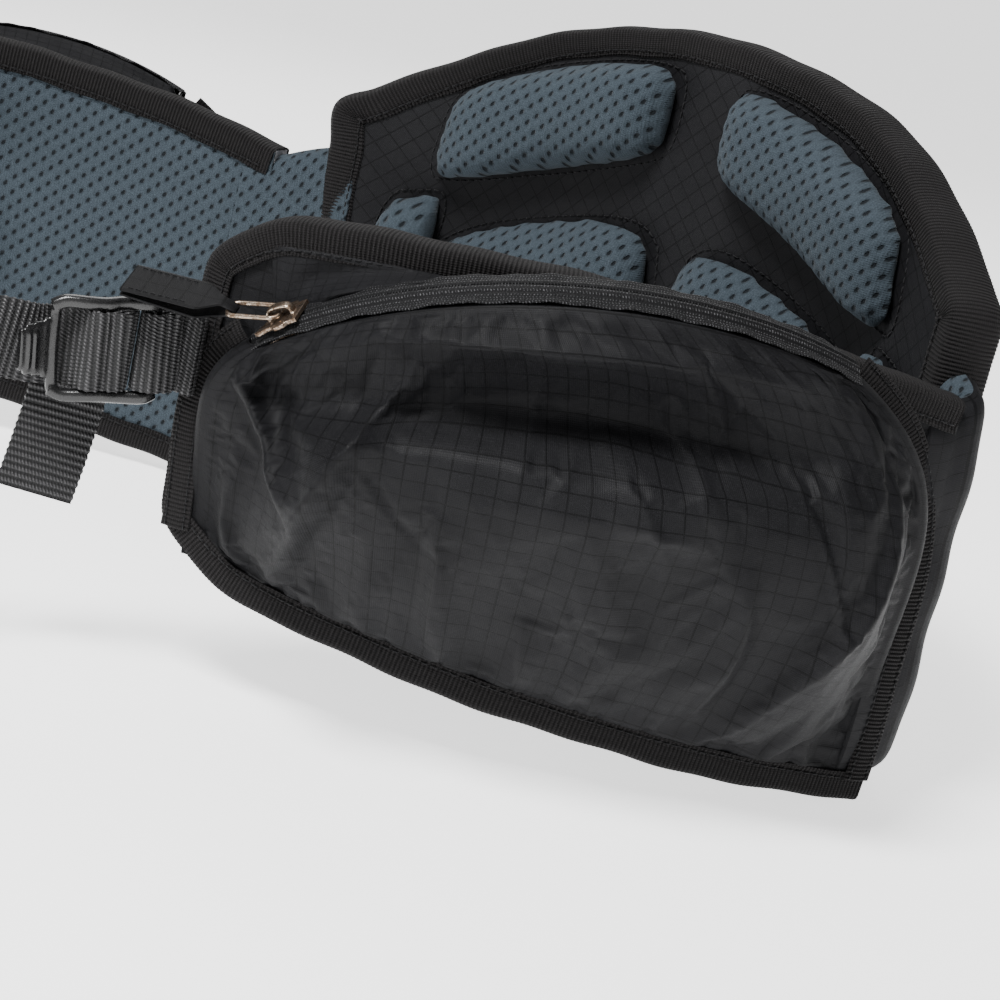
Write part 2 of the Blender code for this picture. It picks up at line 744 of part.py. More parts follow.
def buckle_end(depth, length):
    """The open frame at a buckle's webbing end: a bar at x 0 and a slot up to length."""
    centre = (length / 2 - BUCKLE_BAR / 4, 0, 0)
    base = box_mesh((length + BUCKLE_BAR / 2, depth, BUCKLE_WIDTH), centre, 0.8 * MM)
    return base, ("DIFFERENCE", window(BUCKLE_BAR / 2, length - 2 * MM, WEBBING_WIDTH + 1.4 * MM))


def female_mesh(frame):
    base, slot = buckle_end(LOCK_DEPTH, BUCKLE_SLOT)
    start = BUCKLE_SLOT - MM
    shell = box_mesh((FEMALE_LENGTH, BUCKLE_DEPTH, BUCKLE_WIDTH), (start + FEMALE_LENGTH / 2, 0, 0), 1.5 * MM)
    room = (FEMALE_LENGTH, BUCKLE_DEPTH - 4 * MM, BUCKLE_WIDTH - 6 * MM)
    cavity = box_mesh(room, (start + FEMALE_LENGTH / 2 + 3 * MM, 0, 0), 0.5 * MM)
    side_windows = (12 * MM, BUCKLE_DEPTH - 6 * MM, 60 * MM)
    notch = box_mesh(side_windows, (start + FEMALE_LENGTH * 0.42, 0, 0), 0.5 * MM)
    steps = [slot, ("UNION", shell), ("DIFFERENCE", cavity), ("DIFFERENCE", notch)]
    mesh = combined(base, steps, "female")
    mesh.transform(frame)
    return oriented(mesh)


def male_mesh(frame):
    base, slot = buckle_end(LOCK_DEPTH, BUCKLE_SLOT)
    block = box_mesh((6 * MM, 6.4 * MM, 26 * MM), (BUCKLE_SLOT + 2 * MM, 0, 0), 0.8 * MM)
    guide = box_mesh((24 * MM, 3 * MM, 4 * MM), (BUCKLE_SLOT + 15 * MM, 0, 0), 0.6 * MM)
    mesh = combined(base, [slot, ("UNION", block), ("UNION", guide)], "male")
    mesh.transform(frame)
    return oriented(mesh)


def prong_mesh(sign, frame):
    """A side arm with its catch, from its root at the block to its nose."""
    root = BUCKLE_SLOT + 5 * MM + GAP
    arm = box_mesh((23 * MM, 4 * MM, 2.6 * MM), (root + 11.5 * MM, 0, sign * 10.5 * MM), 0.5 * MM)
    catch = box_mesh((8 * MM, 5.6 * MM, 4.6 * MM), (root + 17 * MM, 0, sign * 12.2 * MM), 0.9 * MM)
    mesh = combined(arm, [("UNION", catch)], "prong")
    mesh.transform(frame)
    return oriented(mesh)


def tip_webbing_points():
    """From under the front seam tape, out round the ladder lock's near bar and back to its stitching."""
    lock = lock_frame()
    z = BELT_HEIGHT
    bar = [(-5, -3.6), (1, -4.2), (5.2, 0), (1, 4.2), (-5, 3.6)]
    loop = [lock @ Vector((x * MM, y * MM, 0)) for x, y in bar]
    start = [wing_point(0.98, z, 10.2 * MM), wing_point(0.996, z, 10.2 * MM)]
    finish = [wing_point(0.998, z, 12.7 * MM), wing_point(0.982, z, 12.5 * MM)]
    return start + loop + finish


def lock_thread(frame_points):
    lock = lock_frame()
    return [lock @ Vector((x * MM, y * MM, z * MM)) for x, y, z in frame_points]


THREADING = [(37, -4.8, 0), (29, -4.8, 0), (22.2, 0, 0), (14.6, 4.4, 0), (7.2, 0, 0), (8.5, -5.6, 0)]
TAIL = [(15, -8.8, -1), (21.5, -9.6, -8), (25, -9.6, -21), (29, -9.0, -36), (33, -8.6, -50)]


def left_buckle_frame():
    return lock_frame() @ Matrix.Translation((76 * MM, 2 * MM, 3 * MM)) @ Matrix.Rotation(
        math.radians(6), 4, "Z"
    )


def right_buckle_frame():
    nose = Vector((-0.98, 0.17, 0)).normalized()
    face = Vector((-nose.y, nose.x, 0))
    rotation = Matrix((nose, face, (0, 0, 1))).transposed().to_4x4()
    return Matrix.Translation((166 * MM, -2 * MM, 118 * MM)) @ rotation


def in_frame(frame, points):
    return [frame @ Vector((x * MM, y * MM, z * MM)) for x, y, z in points]


def left_strap_points():
    loop = [(-24, 0.4, 0), (-7, 3.4, 0), (1, 4.2, 0), (5.2, 0, 0), (1, -4.2, 0), (-7, -3.4, 0), (-24, -2.2, 0)]
    return in_frame(left_buckle_frame(), loop) + lock_thread(THREADING + TAIL)


def right_strap_points():
    over = [(40, 7.2, 0), (28, 7.8, 0), (12, 7.6, 0), (6.4, -0.6, 0), (0, -4.6, 0), (-16, -4, 0), (-44, -2.5, 0)]
    turn = [(262, -28, 104), (300, -22, 94), (326, -8, 88), (331, 6, 86), (322, 13, 86)]
    local = [Vector((x * MM, y * MM, z * MM)) for x, y, z in turn]
    return in_frame(right_buckle_frame(), over) + local + lock_thread(THREADING + TAIL)


def build_belt(side, word, wing, frame):
    tip = strap("tip", tip_webbing_points(), WEBBING_WIDTH, frame, 28)
    wing.add(f"{word}_tip_webbing", tip, "webbing")
    lock = Body(f"{word}_ladder_lock_body", frame @ lock_frame().translation)
    lock.add(f"{word}_ladder_lock", ladder_lock_mesh(frame @ lock_frame()), "buckle_plastic")
    points = left_strap_points() if side < 0 else right_strap_points()
    tail_across = lock_frame().to_3x3() @ Vector((0.95, 0, 0.3))
    front = strap("front", points, WEBBING_WIDTH, frame, 84, 2, WEBBING, (0, 0, 1), tail_across)
    lock.add(f"{word}_front_strap", front, "webbing")
    if side < 0:
        place = frame @ left_buckle_frame()
        female = Body("buckle_female_body", place.translation.copy())
        female.add("buckle_female", female_mesh(place), "buckle_plastic")
        return
    place = frame @ right_buckle_frame()
    male = Body("buckle_male_body", place.translation.copy())
    male.add("buckle_male", male_mesh(place), "buckle_plastic")
    for sign, row in ((1, "upper"), (-1, "lower")):
        root = place @ Vector((BUCKLE_SLOT + 5 * MM + GAP, 0, sign * 10.5 * MM))
        prong = Body(f"buckle_prong_{row}_body", root)
        prong.add(f"buckle_prong_{row}", prong_mesh(sign, place), "buckle_plastic")


def build_wing(side, word, heading):
    frame = wing_frame(side, heading)
    wing = Body(f"{word}_wing", wing_root(side))
    materials = {"wing_outer_shell": "ripstop", "wing_foam": "foam", "wing_inner_mesh": "air_mesh"}
    for kind, offsets in WING_LAYERS.items():
        name = f"{word}_{kind}"
        wing.add(name, wing_layer(name, offsets, 1.0 * MM, frame), materials[kind])
    name = f"{word}_wing_edge_binding"
    tape = edge_tape(name, wing_outline(), wing_edge_point, OUTER_TAPE, INNER_TAPE, 1, frame)
    wing.add(name, tape, "grosgrain")
    zipper = Zip()
    build_pocket(word, wing, zipper, frame)
    build_zip(word, wing, zipper, frame)
    build_belt(side, word, wing, frame)


clear_scene()
pack = new_collection("waist_pack")
cutters = new_collection("cutters")
cutters.hide_render = True
build_lumbar()
for wing_side, wing_word in SIDES:
    build_wing(wing_side, wing_word, LEFT_HEADING if wing_side < 0 else RIGHT_HEADING)
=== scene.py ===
"""The looks of the waist pack: sewn fabric, air mesh, webbing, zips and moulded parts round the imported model.

Units are metres. Each wing is drawn once in its own frame and placed twice: x runs along
the chord, y outward and z up.
The stations, heights and offsets on a wing and on the lumbar pad are those of the model's own source.
"""

import json
import math

import bmesh
import bpy
import numpy as np
from mathutils import Matrix, Vector

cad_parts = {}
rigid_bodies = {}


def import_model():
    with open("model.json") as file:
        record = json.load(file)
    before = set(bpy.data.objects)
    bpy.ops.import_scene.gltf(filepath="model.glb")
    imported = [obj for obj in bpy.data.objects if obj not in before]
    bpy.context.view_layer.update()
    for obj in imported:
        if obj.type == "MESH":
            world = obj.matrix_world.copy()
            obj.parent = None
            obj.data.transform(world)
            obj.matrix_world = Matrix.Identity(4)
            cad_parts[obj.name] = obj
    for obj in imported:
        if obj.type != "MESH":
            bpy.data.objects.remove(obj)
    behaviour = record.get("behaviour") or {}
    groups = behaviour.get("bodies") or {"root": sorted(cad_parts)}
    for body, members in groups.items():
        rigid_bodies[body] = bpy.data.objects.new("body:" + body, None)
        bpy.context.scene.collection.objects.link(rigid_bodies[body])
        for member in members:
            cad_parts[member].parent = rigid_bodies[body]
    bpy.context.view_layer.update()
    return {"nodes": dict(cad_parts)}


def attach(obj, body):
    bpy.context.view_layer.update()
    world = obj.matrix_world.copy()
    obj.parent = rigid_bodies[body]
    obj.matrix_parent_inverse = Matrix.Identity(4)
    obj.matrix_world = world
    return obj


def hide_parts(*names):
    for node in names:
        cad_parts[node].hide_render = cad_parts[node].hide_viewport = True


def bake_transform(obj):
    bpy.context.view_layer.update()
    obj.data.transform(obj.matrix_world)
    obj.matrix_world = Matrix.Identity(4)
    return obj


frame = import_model()

MM = 0.001
TURN = 2 * math.pi
SHIFT = np.array((124.7, -104.35, 1.1)) * MM
SIDES = ((-1, "left", 134), (1, "right", 139))

# Lumbar pad
LUMBAR_HALF = 150 * MM
LUMBAR_HEIGHT = 226 * MM
LUMBAR_DROP = 62 * MM
LUMBAR_FLAT = 40 * MM
LUMBAR_SWEEP = 45 * MM
LUMBAR_TAPE = 9.5 * MM
PAD_BACK = -8.8 * MM
PAD_DEPTH = 20 * MM
# kind: (inner edge, outer edge, bottom line, top line); an edge is its distance from the spine and its lean
PAD_EASE = 3.5 * MM
PADS = {
    "lower_pad": ((8 * MM, 0), (122 * MM, 0.12), (16 * MM, 24 * MM, 0), (152 * MM, 120 * MM, 4 * MM)),
    "upper_pad": ((16 * MM, 0), (129 * MM, 0.12), (180 * MM, 145 * MM, 2 * MM), (210 * MM, 180 * MM, 5 * MM)),
    "side_roll": ((124.5 * MM, 0.12), (141 * MM, 0.12), (28 * MM, 34 * MM, 0), (138 * MM, 132 * MM, 0)),
}

# Wings
CHORD = 245 * MM
SAGITTA = 32 * MM
RADIUS = ((CHORD / 2) ** 2 + SAGITTA**2) / (2 * SAGITTA)
ANGLE = math.asin(CHORD / 2 / RADIUS)
ARC = 2 * ANGLE * RADIUS
ROOT_TOP = 140 * MM
HINGE_GAP = 9 * MM
TAPE = 0.8 * MM
TAPE_WIDTH = 11 * MM

# Pocket and zip; the zip's centre line is one arc through three points (station, height, offset)
POCKET_REAR = 0.072
POCKET_FRONT = 0.945
BULGE = 26 * MM
SEAM = 7.8 * MM
ZIP_POINTS = ((0.885, 121 * MM, 17 * MM), (0.60, 156 * MM, 26 * MM), (0.25, 151 * MM, 20 * MM))
ZIP_LEAN = math.radians(25)
ZIP_HALF = 8 * MM
SLIDER_START = 8 * MM
PULL_HEIGHT = 4.5 * MM
PULL_LIFT = 24
PULL_LENGTH = 17 * MM
TAB_WIDTH = 14 * MM
TAB_LIFT = 14

# Belt
BELT_HEIGHT = 105 * MM
WEBBING_THICKNESS = 1.5 * MM
WEBBING_WIDTH = 25 * MM
LOCK_TURN = 16
LOCK_DIP = 6
LOCK_REACH = 9 * MM

# Surface detail
MESH_HOLE = (0.75 * MM, 1.25 * MM)
MESH_PITCH = (7.0 * MM, 6.4 * MM)
MESH_SLANT = math.radians(28)
RIB_TAPE = 1.4 * MM
RIB_WEBBING = 2.3 * MM
GRID = 6.2 * MM


# ---------------------------------------------------------------- materials


class Look:
    """A Principled material with helpers for the patterns that feed it."""

    def __init__(self, name, **sockets):
        self.material = bpy.data.materials.new(name)
        self.material.use_nodes = True
        self.tree = self.material.node_tree
        self.shader = self.tree.nodes["Principled BSDF"]
        for socket, value in sockets.items():
            self.shader.inputs[socket.replace("_", " ")].default_value = value
        self.normal = None

    def node(self, kind, **settings):
        node = self.tree.nodes.new(kind)
        for key, value in settings.items():
            setattr(node, key, value)
        return node

    def feed(self, socket, value):
        if isinstance(value, bpy.types.NodeSocket):
            self.tree.links.new(value, socket)
        else:
            socket.default_value = value

    def math(self, operation, *values):
        node = self.node("ShaderNodeMath", operation=operation)
        for socket, value in zip(node.inputs, values):
            self.feed(socket, value)
        return node.outputs[0]

    def cloth(self):
        """The cloth's own flat coordinates, in metres along and across it."""
        attribute = self.node("ShaderNodeAttribute", attribute_name="cloth")
        split = self.node("ShaderNodeSeparateXYZ")
        self.feed(split.inputs[0], attribute.outputs["Vector"])
        return split.outputs[0], split.outputs[1]

    def noise(self, scale, detail=3.0, rough=0.55):
        """Noise in the object's own space, from 0 to 1, with scale in cells per metre."""
        place = self.node("ShaderNodeTexCoord")
        noise = self.node("ShaderNodeTexNoise")
        self.feed(noise.inputs["Vector"], place.outputs["Object"])
        self.feed(noise.inputs["Scale"], float(scale))
        self.feed(noise.inputs["Detail"], float(detail))
        self.feed(noise.inputs["Roughness"], rough)
        return noise.outputs["Fac"]

    def ramp(self, value, low, high, start=0.0, end=1.0):
        node = self.node("ShaderNodeMapRange", interpolation_type="SMOOTHSTEP")
        for socket, item in zip(node.inputs, (value, low, high, start, end)):
            self.feed(socket, item)
        return node.outputs[0]

    def wave(self, coordinate, pitch, phase=0.0):
        turned = self.math("MULTIPLY_ADD", coordinate, TURN / pitch, phase)
        return self.math("MULTIPLY_ADD", self.math("SINE", turned), 0.5, 0.5)

    def threads(self, coordinate, pitch, share):
        part = self.math("FRACT", self.math("MULTIPLY", coordinate, 1 / pitch))
        return self.math("LESS_THAN", part, share)

    def colour(self, factor, first, second):
        mix = self.node("ShaderNodeMix", data_type="RGBA")
        self.feed(mix.inputs[0], factor)
        self.feed(mix.inputs[6], (*first, 1.0) if isinstance(first, tuple) else first)
        self.feed(mix.inputs[7], (*second, 1.0) if isinstance(second, tuple) else second)
        return mix.outputs[2]

    def bump(self, height, distance):
        node = self.node("ShaderNodeBump")
        node.inputs["Distance"].default_value = distance
        self.feed(node.inputs["Height"], height)
        if self.normal is not None:
            self.feed(node.inputs["Normal"], self.normal)
        self.normal = node.outputs[0]

    def done(self, colour, roughness=None):
        self.feed(self.shader.inputs["Base Color"], colour)
        if roughness is not None:
            self.feed(self.shader.inputs["Roughness"], roughness)
        if self.normal is not None:
            self.feed(self.shader.inputs["Normal"], self.normal)
        return self.material


def ripstop_look(name, lit, dark, crumple):
    """Coated nylon with a grid of thicker threads, fine weave and small creases."""
    look = Look(name, Sheen_Weight=0.01, Sheen_Roughness=0.4, Specular_IOR_Level=0.11)
    x, y = look.cloth()
    lines = look.math("MAXIMUM", look.threads(x, GRID, 0.075), look.threads(y, GRID, 0.075))
    weave = look.math("MULTIPLY", look.wave(x, 0.6 * MM), look.wave(y, 0.6 * MM))
    speckle = look.noise(1700, 2.0)
    look.bump(look.noise(55, 4.0, 0.5), crumple)
    look.bump(look.noise(260, 3.0), crumple * 0.22)
    look.bump(lines, 0.12 * MM)
    look.bump(weave, 0.05 * MM)
    patch = look.colour(look.ramp(look.noise(30), 0.3, 0.7), dark, lit)
    worn = look.colour(look.ramp(speckle, 0.5, 0.75, 0.0, 0.5), patch, tuple(2.0 * c for c in lit))
    return look.done(
        look.colour(look.math("MULTIPLY", lines, 0.85), worn, tuple(0.45 * c for c in dark)),
        look.ramp(speckle, 0.2, 0.8, 0.50, 0.68),
    )


def grosgrain_look(name, lit, dark, pitch):
    """Ribbed tape whose ribs run across it, with single threads across each rib, and painted shade in the
    grooves between them.
    """
    look = Look(name, Sheen_Weight=0.02, Sheen_Roughness=0.4, Specular_IOR_Level=0.12)
    x, y = look.cloth()
    rib = look.math("POWER", look.wave(x, pitch), 0.7)
    thread = look.wave(y, 0.75 * MM)
    speckle = look.noise(2200, 2.0)
    look.bump(rib, 0.28 * MM)
    look.bump(thread, 0.10 * MM)
    look.bump(speckle, 0.05 * MM)
    top = look.colour(look.ramp(speckle, 0.35, 0.72), lit, tuple(1.9 * c for c in lit))
    # painted shade: the colour goes dark in the grooves between ribs and threads and light on the rib tops
    groove_shade_mask = look.math("MULTIPLY", rib, look.ramp(thread, 0.0, 0.6, 0.55, 1.0))
    return look.done(look.colour(groove_shade_mask, dark, top), look.ramp(speckle, 0.3, 0.7, 0.62, 0.85))


def webbing_look(name, lit, dark):
    """Heavy webbing: broad ribs of twisted yarn, with painted highlights on the crests and painted shade in the
    grooves.
    """
    look = Look(name, Sheen_Weight=0.04, Specular_IOR_Level=0.4)
    x, y = look.cloth()
    rib = look.wave(x, RIB_WEBBING)
    slant = look.math("ADD", y, look.math("MULTIPLY", x, 0.35))
    yarn = look.wave(slant, 1.15 * MM)
    speckle = look.noise(2600, 2.0)
    look.bump(rib, 0.35 * MM)
    look.bump(yarn, 0.30 * MM)
    look.bump(speckle, 0.06 * MM)
    # painted light: rib and yarn crests get a bright glint colour, the grooves a near-black painted shade
    crest_glint_mask = look.math("MULTIPLY", look.ramp(rib, 0.25, 0.8), look.ramp(yarn, 0.25, 0.75, 0.25, 1.0))
    painted_glint = look.colour(look.ramp(speckle, 0.4, 0.7), lit, tuple(1.7 * c for c in lit))
    return look.done(look.colour(crest_glint_mask, dark, painted_glint), look.ramp(crest_glint_mask, 0.0, 1.0, 0.7, 0.42))


def mesh_look(name, lit, dark, pitch, size):
    """Spacer mesh with staggered slanted oval holes and a soft knitted face, with painted shade in the holes
    and round their rims.
    """
    look = Look(name, Sheen_Weight=0.05, Sheen_Roughness=0.5, Specular_IOR_Level=0.1)
    x, y = look.cloth()
    cosine, sine = math.cos(MESH_SLANT), math.sin(MESH_SLANT)

    def from_hole(coordinate, step, offset):
        part = look.math("FRACT", look.math("MULTIPLY_ADD", coordinate, 1 / step, offset))
        return look.math("MULTIPLY", look.math("SUBTRACT", part, 0.5), step)

    def row(offset):
        p = from_hole(x, pitch[0], offset)
        q = from_hole(y, pitch[1], offset)
        first = look.math("MULTIPLY_ADD", p, cosine, look.math("MULTIPLY", q, sine))
        second = look.math("MULTIPLY_ADD", q, cosine, look.math("MULTIPLY", p, -sine))
        a = look.math("POWER", look.math("MULTIPLY", first, 1 / size[0]), 2.0)
        b = look.math("POWER", look.math("MULTIPLY", second, 1 / size[1]), 2.0)
        return look.math("SQRT", look.math("ADD", a, b))

    distance = look.math("MINIMUM", row(0.0), row(0.5))
    hole = look.ramp(distance, 0.55, 1.15, 1.0, 0.0)
    knit = look.math("MULTIPLY", look.wave(x, 1.0 * MM), look.wave(y, 0.8 * MM))
    speckle = look.noise(1500, 3.0)
    look.bump(look.math("SUBTRACT", 1.0, hole), 0.5 * MM)
    look.bump(knit, 0.12 * MM)
    look.bump(speckle, 0.10 * MM)
    face = look.colour(look.ramp(speckle, 0.3, 0.75), dark, lit)
    # painted shade: the face darkens towards each hole's rim
    ring = look.ramp(distance, 1.0, 2.1, 0.35, 0.0)
    shaded = look.colour(ring, face, tuple(0.45 * c for c in dark))
    # painted shade: the holes themselves are coloured near-black
    colour = look.colour(hole, shaded, (0.006, 0.008, 0.010))
    return look.done(colour, look.ramp(speckle, 0.2, 0.8, 0.75, 0.95))


def zip_look(name):
    """Knitted zip tape, a dark base with painted highlights on small stitches in slanting rows."""
    look = Look(name, Sheen_Weight=0.02, Specular_IOR_Level=0.12)
    x, y = look.cloth()
    part = look.math("FRACT", look.math("MULTIPLY", y, 400.0))
    fold = look.math("ABSOLUTE", look.math("SUBTRACT", part, 0.5))
    slant = look.math("MULTIPLY_ADD", fold, 0.9 * MM, x)
    row = look.math("MULTIPLY", look.wave(slant, 0.95 * MM), look.wave(y, 1.25 * MM))
    speckle = look.noise(2600, 3.0)
    look.bump(row, 0.22 * MM)
    look.bump(speckle, 0.08 * MM)
    # painted highlight: the stitch pattern, broken up by speckle, is coloured bright over the near-black tape
    painted_glint = look.math("MULTIPLY", look.ramp(row, 0.3, 0.9), look.ramp(speckle, 0.45, 0.6))
    colour = look.colour(painted_glint, (0.004, 0.004, 0.0045), (0.10, 0.10, 0.104))
    return look.done(colour, look.ramp(speckle, 0.3, 0.7, 0.5, 0.8))


def plastic_look(name, colour):
    """Moulded acetal with a fine spark-eroded grain and slightly polished high spots."""
    look = Look(name, Specular_IOR_Level=0.45, Coat_Weight=0.15, Coat_Roughness=0.15)
    grain = look.noise(2400, 2.0)
    flow = look.noise(70, 3.0)
    look.bump(grain, 0.035 * MM)
    look.bump(flow, 0.10 * MM)
    low, high = (tuple(share * c for c in colour) for share in (0.8, 1.25))
    shade = look.colour(look.ramp(flow, 0.3, 0.7), low, high)
    return look.done(shade, look.ramp(grain, 0.25, 0.75, 0.20, 0.34))


def metal_look(name):
    """Antique plating: bright where it is rubbed and brown in the pits."""
    look = Look(name, Metallic=1.0)
    pits = look.noise(700, 5.0, 0.65)
    stain = look.noise(190, 3.0)
    look.bump(pits, 0.09 * MM)
    worn = look.colour(look.ramp(pits, 0.40, 0.62), (0.10, 0.065, 0.042), (0.46, 0.385, 0.315))
    tone = look.colour(look.ramp(stain, 0.35, 0.7, 0.0, 0.6), worn, (0.20, 0.14, 0.10))
    return look.done(tone, look.ramp(pits, 0.35, 0.65, 0.52, 0.26))


def foam_look(name):
    """Closed-cell foam: pale, matt and full of small cells."""
    look = Look(name, Specular_IOR_Level=0.2)
    cells = look.noise(900, 4.0)
    look.bump(cells, 0.2 * MM)
    colour = look.colour(look.ramp(cells, 0.35, 0.65), (0.17, 0.17, 0.18), (0.28, 0.28, 0.30))
    return look.done(colour, look.ramp(cells, 0.3, 0.7, 0.85, 0.98))


def sheet_look(name):
    """The stiffener's polyethylene: milky, waxy and faintly streaked."""
    look = Look(name, Specular_IOR_Level=0.45)
    streaks = look.noise(120, 4.0)
    look.bump(streaks, 0.05 * MM)
    colour = look.colour(streaks, (0.58, 0.60, 0.61), (0.72, 0.73, 0.74))
    return look.done(colour, look.ramp(streaks, 0.3, 0.7, 0.38, 0.55))


def thread_look(name):
    """Twisted polyester sewing thread."""
    look = Look(name, Sheen_Weight=0.04, Specular_IOR_Level=0.12)
    twist = look.noise(3000, 2.0)
    look.bump(twist, 0.06 * MM)
    colour = look.colour(twist, (0.003, 0.003, 0.0035), (0.014, 0.014, 0.015))
    return look.done(colour, look.ramp(twist, 0.3, 0.7, 0.5, 0.75))


def floor_look(name):
    """Matt white studio paper."""
    look = Look(name, Specular_IOR_Level=0.1, Emission_Color=(1, 1, 1, 1), Emission_Strength=1.5)
    fibre = look.noise(60, 3.0)
    colour = look.colour(fibre, (0.90, 0.90, 0.90), (0.93, 0.93, 0.93))
    return look.done(colour, look.ramp(fibre, 0.3, 0.7, 0.85, 0.95))


LOOKS = {
    "ripstop": ripstop_look("ripstop", (0.0075, 0.0075, 0.0084), (0.0045, 0.0045, 0.0052), 0.6 * MM),
    "panel": ripstop_look("panel_fabric", (0.0085, 0.0085, 0.0095), (0.006, 0.006, 0.007), 0.5 * MM),
    "lining": ripstop_look("tab_fabric", (0.007, 0.007, 0.0075), (0.005, 0.005, 0.0055), 0.15 * MM),
    # grosgrain: the dark colour is the painted shade in the grooves between ribs
    "grosgrain": grosgrain_look("grosgrain", (0.010, 0.0092, 0.0095), (0.003, 0.0027, 0.0027), RIB_TAPE),
    # webbing: the dark colour is painted groove shade, and the lit colour brightens to a painted glint on the
    # crests
    "webbing": webbing_look("webbing", (0.037, 0.036, 0.038), (0.004, 0.004, 0.0045)),
    "air_mesh": mesh_look("air_mesh", (0.043, 0.056, 0.068), (0.028, 0.038, 0.047), MESH_PITCH, MESH_HOLE),
    "zip_tape": zip_look("zip_tape"),
    "zip_coil": plastic_look("zip_coil", (0.004, 0.004, 0.0045)),
    "buckle_plastic": plastic_look("buckle_plastic", (0.006, 0.006, 0.0063)),
    "antique_metal": metal_look("antique_metal"),
    "foam": foam_look("foam"),
    "frame_sheet": sheet_look("frame_sheet"),
    "thread": thread_look("thread"),
    "paper": floor_look("studio_paper"),
}


# ---------------------------------------------------------------- mesh building


def unit(vectors):
    return vectors / (np.linalg.norm(vectors, axis=-1, keepdims=True) + 1e-12)


def ease(value):
    value = np.clip(value, 0.0, 1.0)
    return value * value * (3 - 2 * value)


def add_object(name, points, faces, look, cloth=None):
    mesh = bpy.data.meshes.new(name)
    mesh.from_pydata(np.asarray(points).reshape(-1, 3).tolist(), [], [list(face) for face in faces])
    mesh.materials.append(LOOKS[look])
    mesh.shade_smooth()
    if cloth is not None:
        values = np.zeros((len(mesh.vertices), 3), np.float32)
        values[:, :2] = np.asarray(cloth).reshape(-1, 2)
        attribute = mesh.attributes.new("cloth", "FLOAT_VECTOR", "POINT")
        attribute.data.foreach_set("vector", values.ravel())
    piece = bpy.data.objects.new(name, mesh)
    bpy.context.scene.collection.objects.link(piece)
    return piece


def grid_faces(rows, columns, closed=False):
    index = np.arange(rows * columns).reshape(rows, columns)
    if closed:
        index = np.vstack([index, index[:1]])
    corners = index[:-1, :-1], index[:-1, 1:], index[1:, 1:], index[1:, :-1]
    return np.stack(corners, -1).reshape(-1, 4)


def cloth_of(points):
    """Distances along and across a grid of points, as if it were laid flat."""
    along = np.linalg.norm(np.diff(points, axis=1), axis=-1).mean(axis=0)
    across = np.linalg.norm(np.diff(points, axis=0), axis=-1).mean(axis=1)
    u, v = np.concatenate([[0], np.cumsum(along)]), np.concatenate([[0], np.cumsum(across)])
    return np.stack(np.meshgrid(u, v), -1)


def skin(name, points, outward, look, thickness=0.0, cloth=None):
    """A sheet through a grid of points, facing outward, with its thickness behind it."""
    rows, columns = points.shape[:2]
    faces = grid_faces(rows, columns)
    normal = np.cross(np.gradient(points, axis=1), np.gradient(points, axis=0))
    if (normal * outward).sum() < 0:
        faces = faces[:, ::-1]
    piece = add_object(name, points, faces, look, cloth_of(points) if cloth is None else cloth)
    if thickness:
        modifier = piece.modifiers.new("thickness", "SOLIDIFY")
        modifier.thickness = thickness
        modifier.offset = -1
    return piece


def cross_section(segments, power):
    """A rounded box outline of half size 1; a higher power is squarer."""
    angle = TURN * (np.arange(segments) + 0.5) / segments
    cosine, sine = np.cos(angle), np.sin(angle)
    return np.sign(cosine) * abs(cosine) ** (2 / power), np.sign(sine) * abs(sine) ** (2 / power)


def sweep(path, side, widths, heights, segments=16, power=2.0, closed=False):
    """(points, faces) of a tube along a path. side is the direction of its width, and its ends are capped."""
    path = np.asarray(path, float)
    count = len(path)
    if closed:
        ring = np.vstack([path[-1:], path, path[:1]])
        along = unit(ring[2:] - ring[:-2])
    else:
        along = unit(np.gradient(path, axis=0))
    side = np.broadcast_to(np.asarray(side, float), path.shape)
    side = unit(side - (side * along).sum(-1, keepdims=True) * along)
    normal = np.cross(along, side)
    widths = np.broadcast_to(widths, count)[:, None, None]
    heights = np.broadcast_to(heights, count)[:, None, None]
    x, y = cross_section(segments, power)
    rings = path[:, None] + side[:, None] * widths * x[None, :, None]
    rings = rings + normal[:, None] * heights * y[None, :, None]
    index = np.arange(count * segments).reshape(count, segments)
    if closed:
        index = np.vstack([index, index[:1]])
    index = np.hstack([index, index[:, :1]])
    corners = index[:-1, :-1], index[:-1, 1:], index[1:, 1:], index[1:, :-1]
    faces = [tuple(face) for face in np.stack(corners, -1).reshape(-1, 4).tolist()]
    if not closed:
        faces += [tuple(range(segments)), tuple(range((count - 1) * segments, count * segments))[::-1]]
    return rings.reshape(-1, 3), faces


def joined(shapes):
    """Several (points, faces) as one."""
    points, faces, start = [], [], 0
    for some, rest in shapes:
        points.append(some)
        faces += [tuple(corner + start for corner in face) for face in rest]
        start += len(some)
    return np.vstack(points), faces


def block(low, high):
    """(points, faces) of a box between two corners."""
    low, high = np.array(low, float) * MM, np.array(high, float) * MM
    corners = np.array([[x, y, z] for x in (0, 1) for y in (0, 1) for z in (0, 1)])
    faces = [(0, 1, 3, 2), (4, 6, 7, 5), (0, 4, 5, 1), (2, 3, 7, 6), (0, 2, 6, 4), (1, 5, 7, 3)]
    return low + corners * (high - low), faces


def face_out(piece):
    """Turns the piece's faces outward."""
    bm = bmesh.new()
    bm.from_mesh(piece.data)
    bmesh.ops.recalc_face_normals(bm, faces=bm.faces[:])
    bm.to_mesh(piece.data)
    bm.free()
    return piece


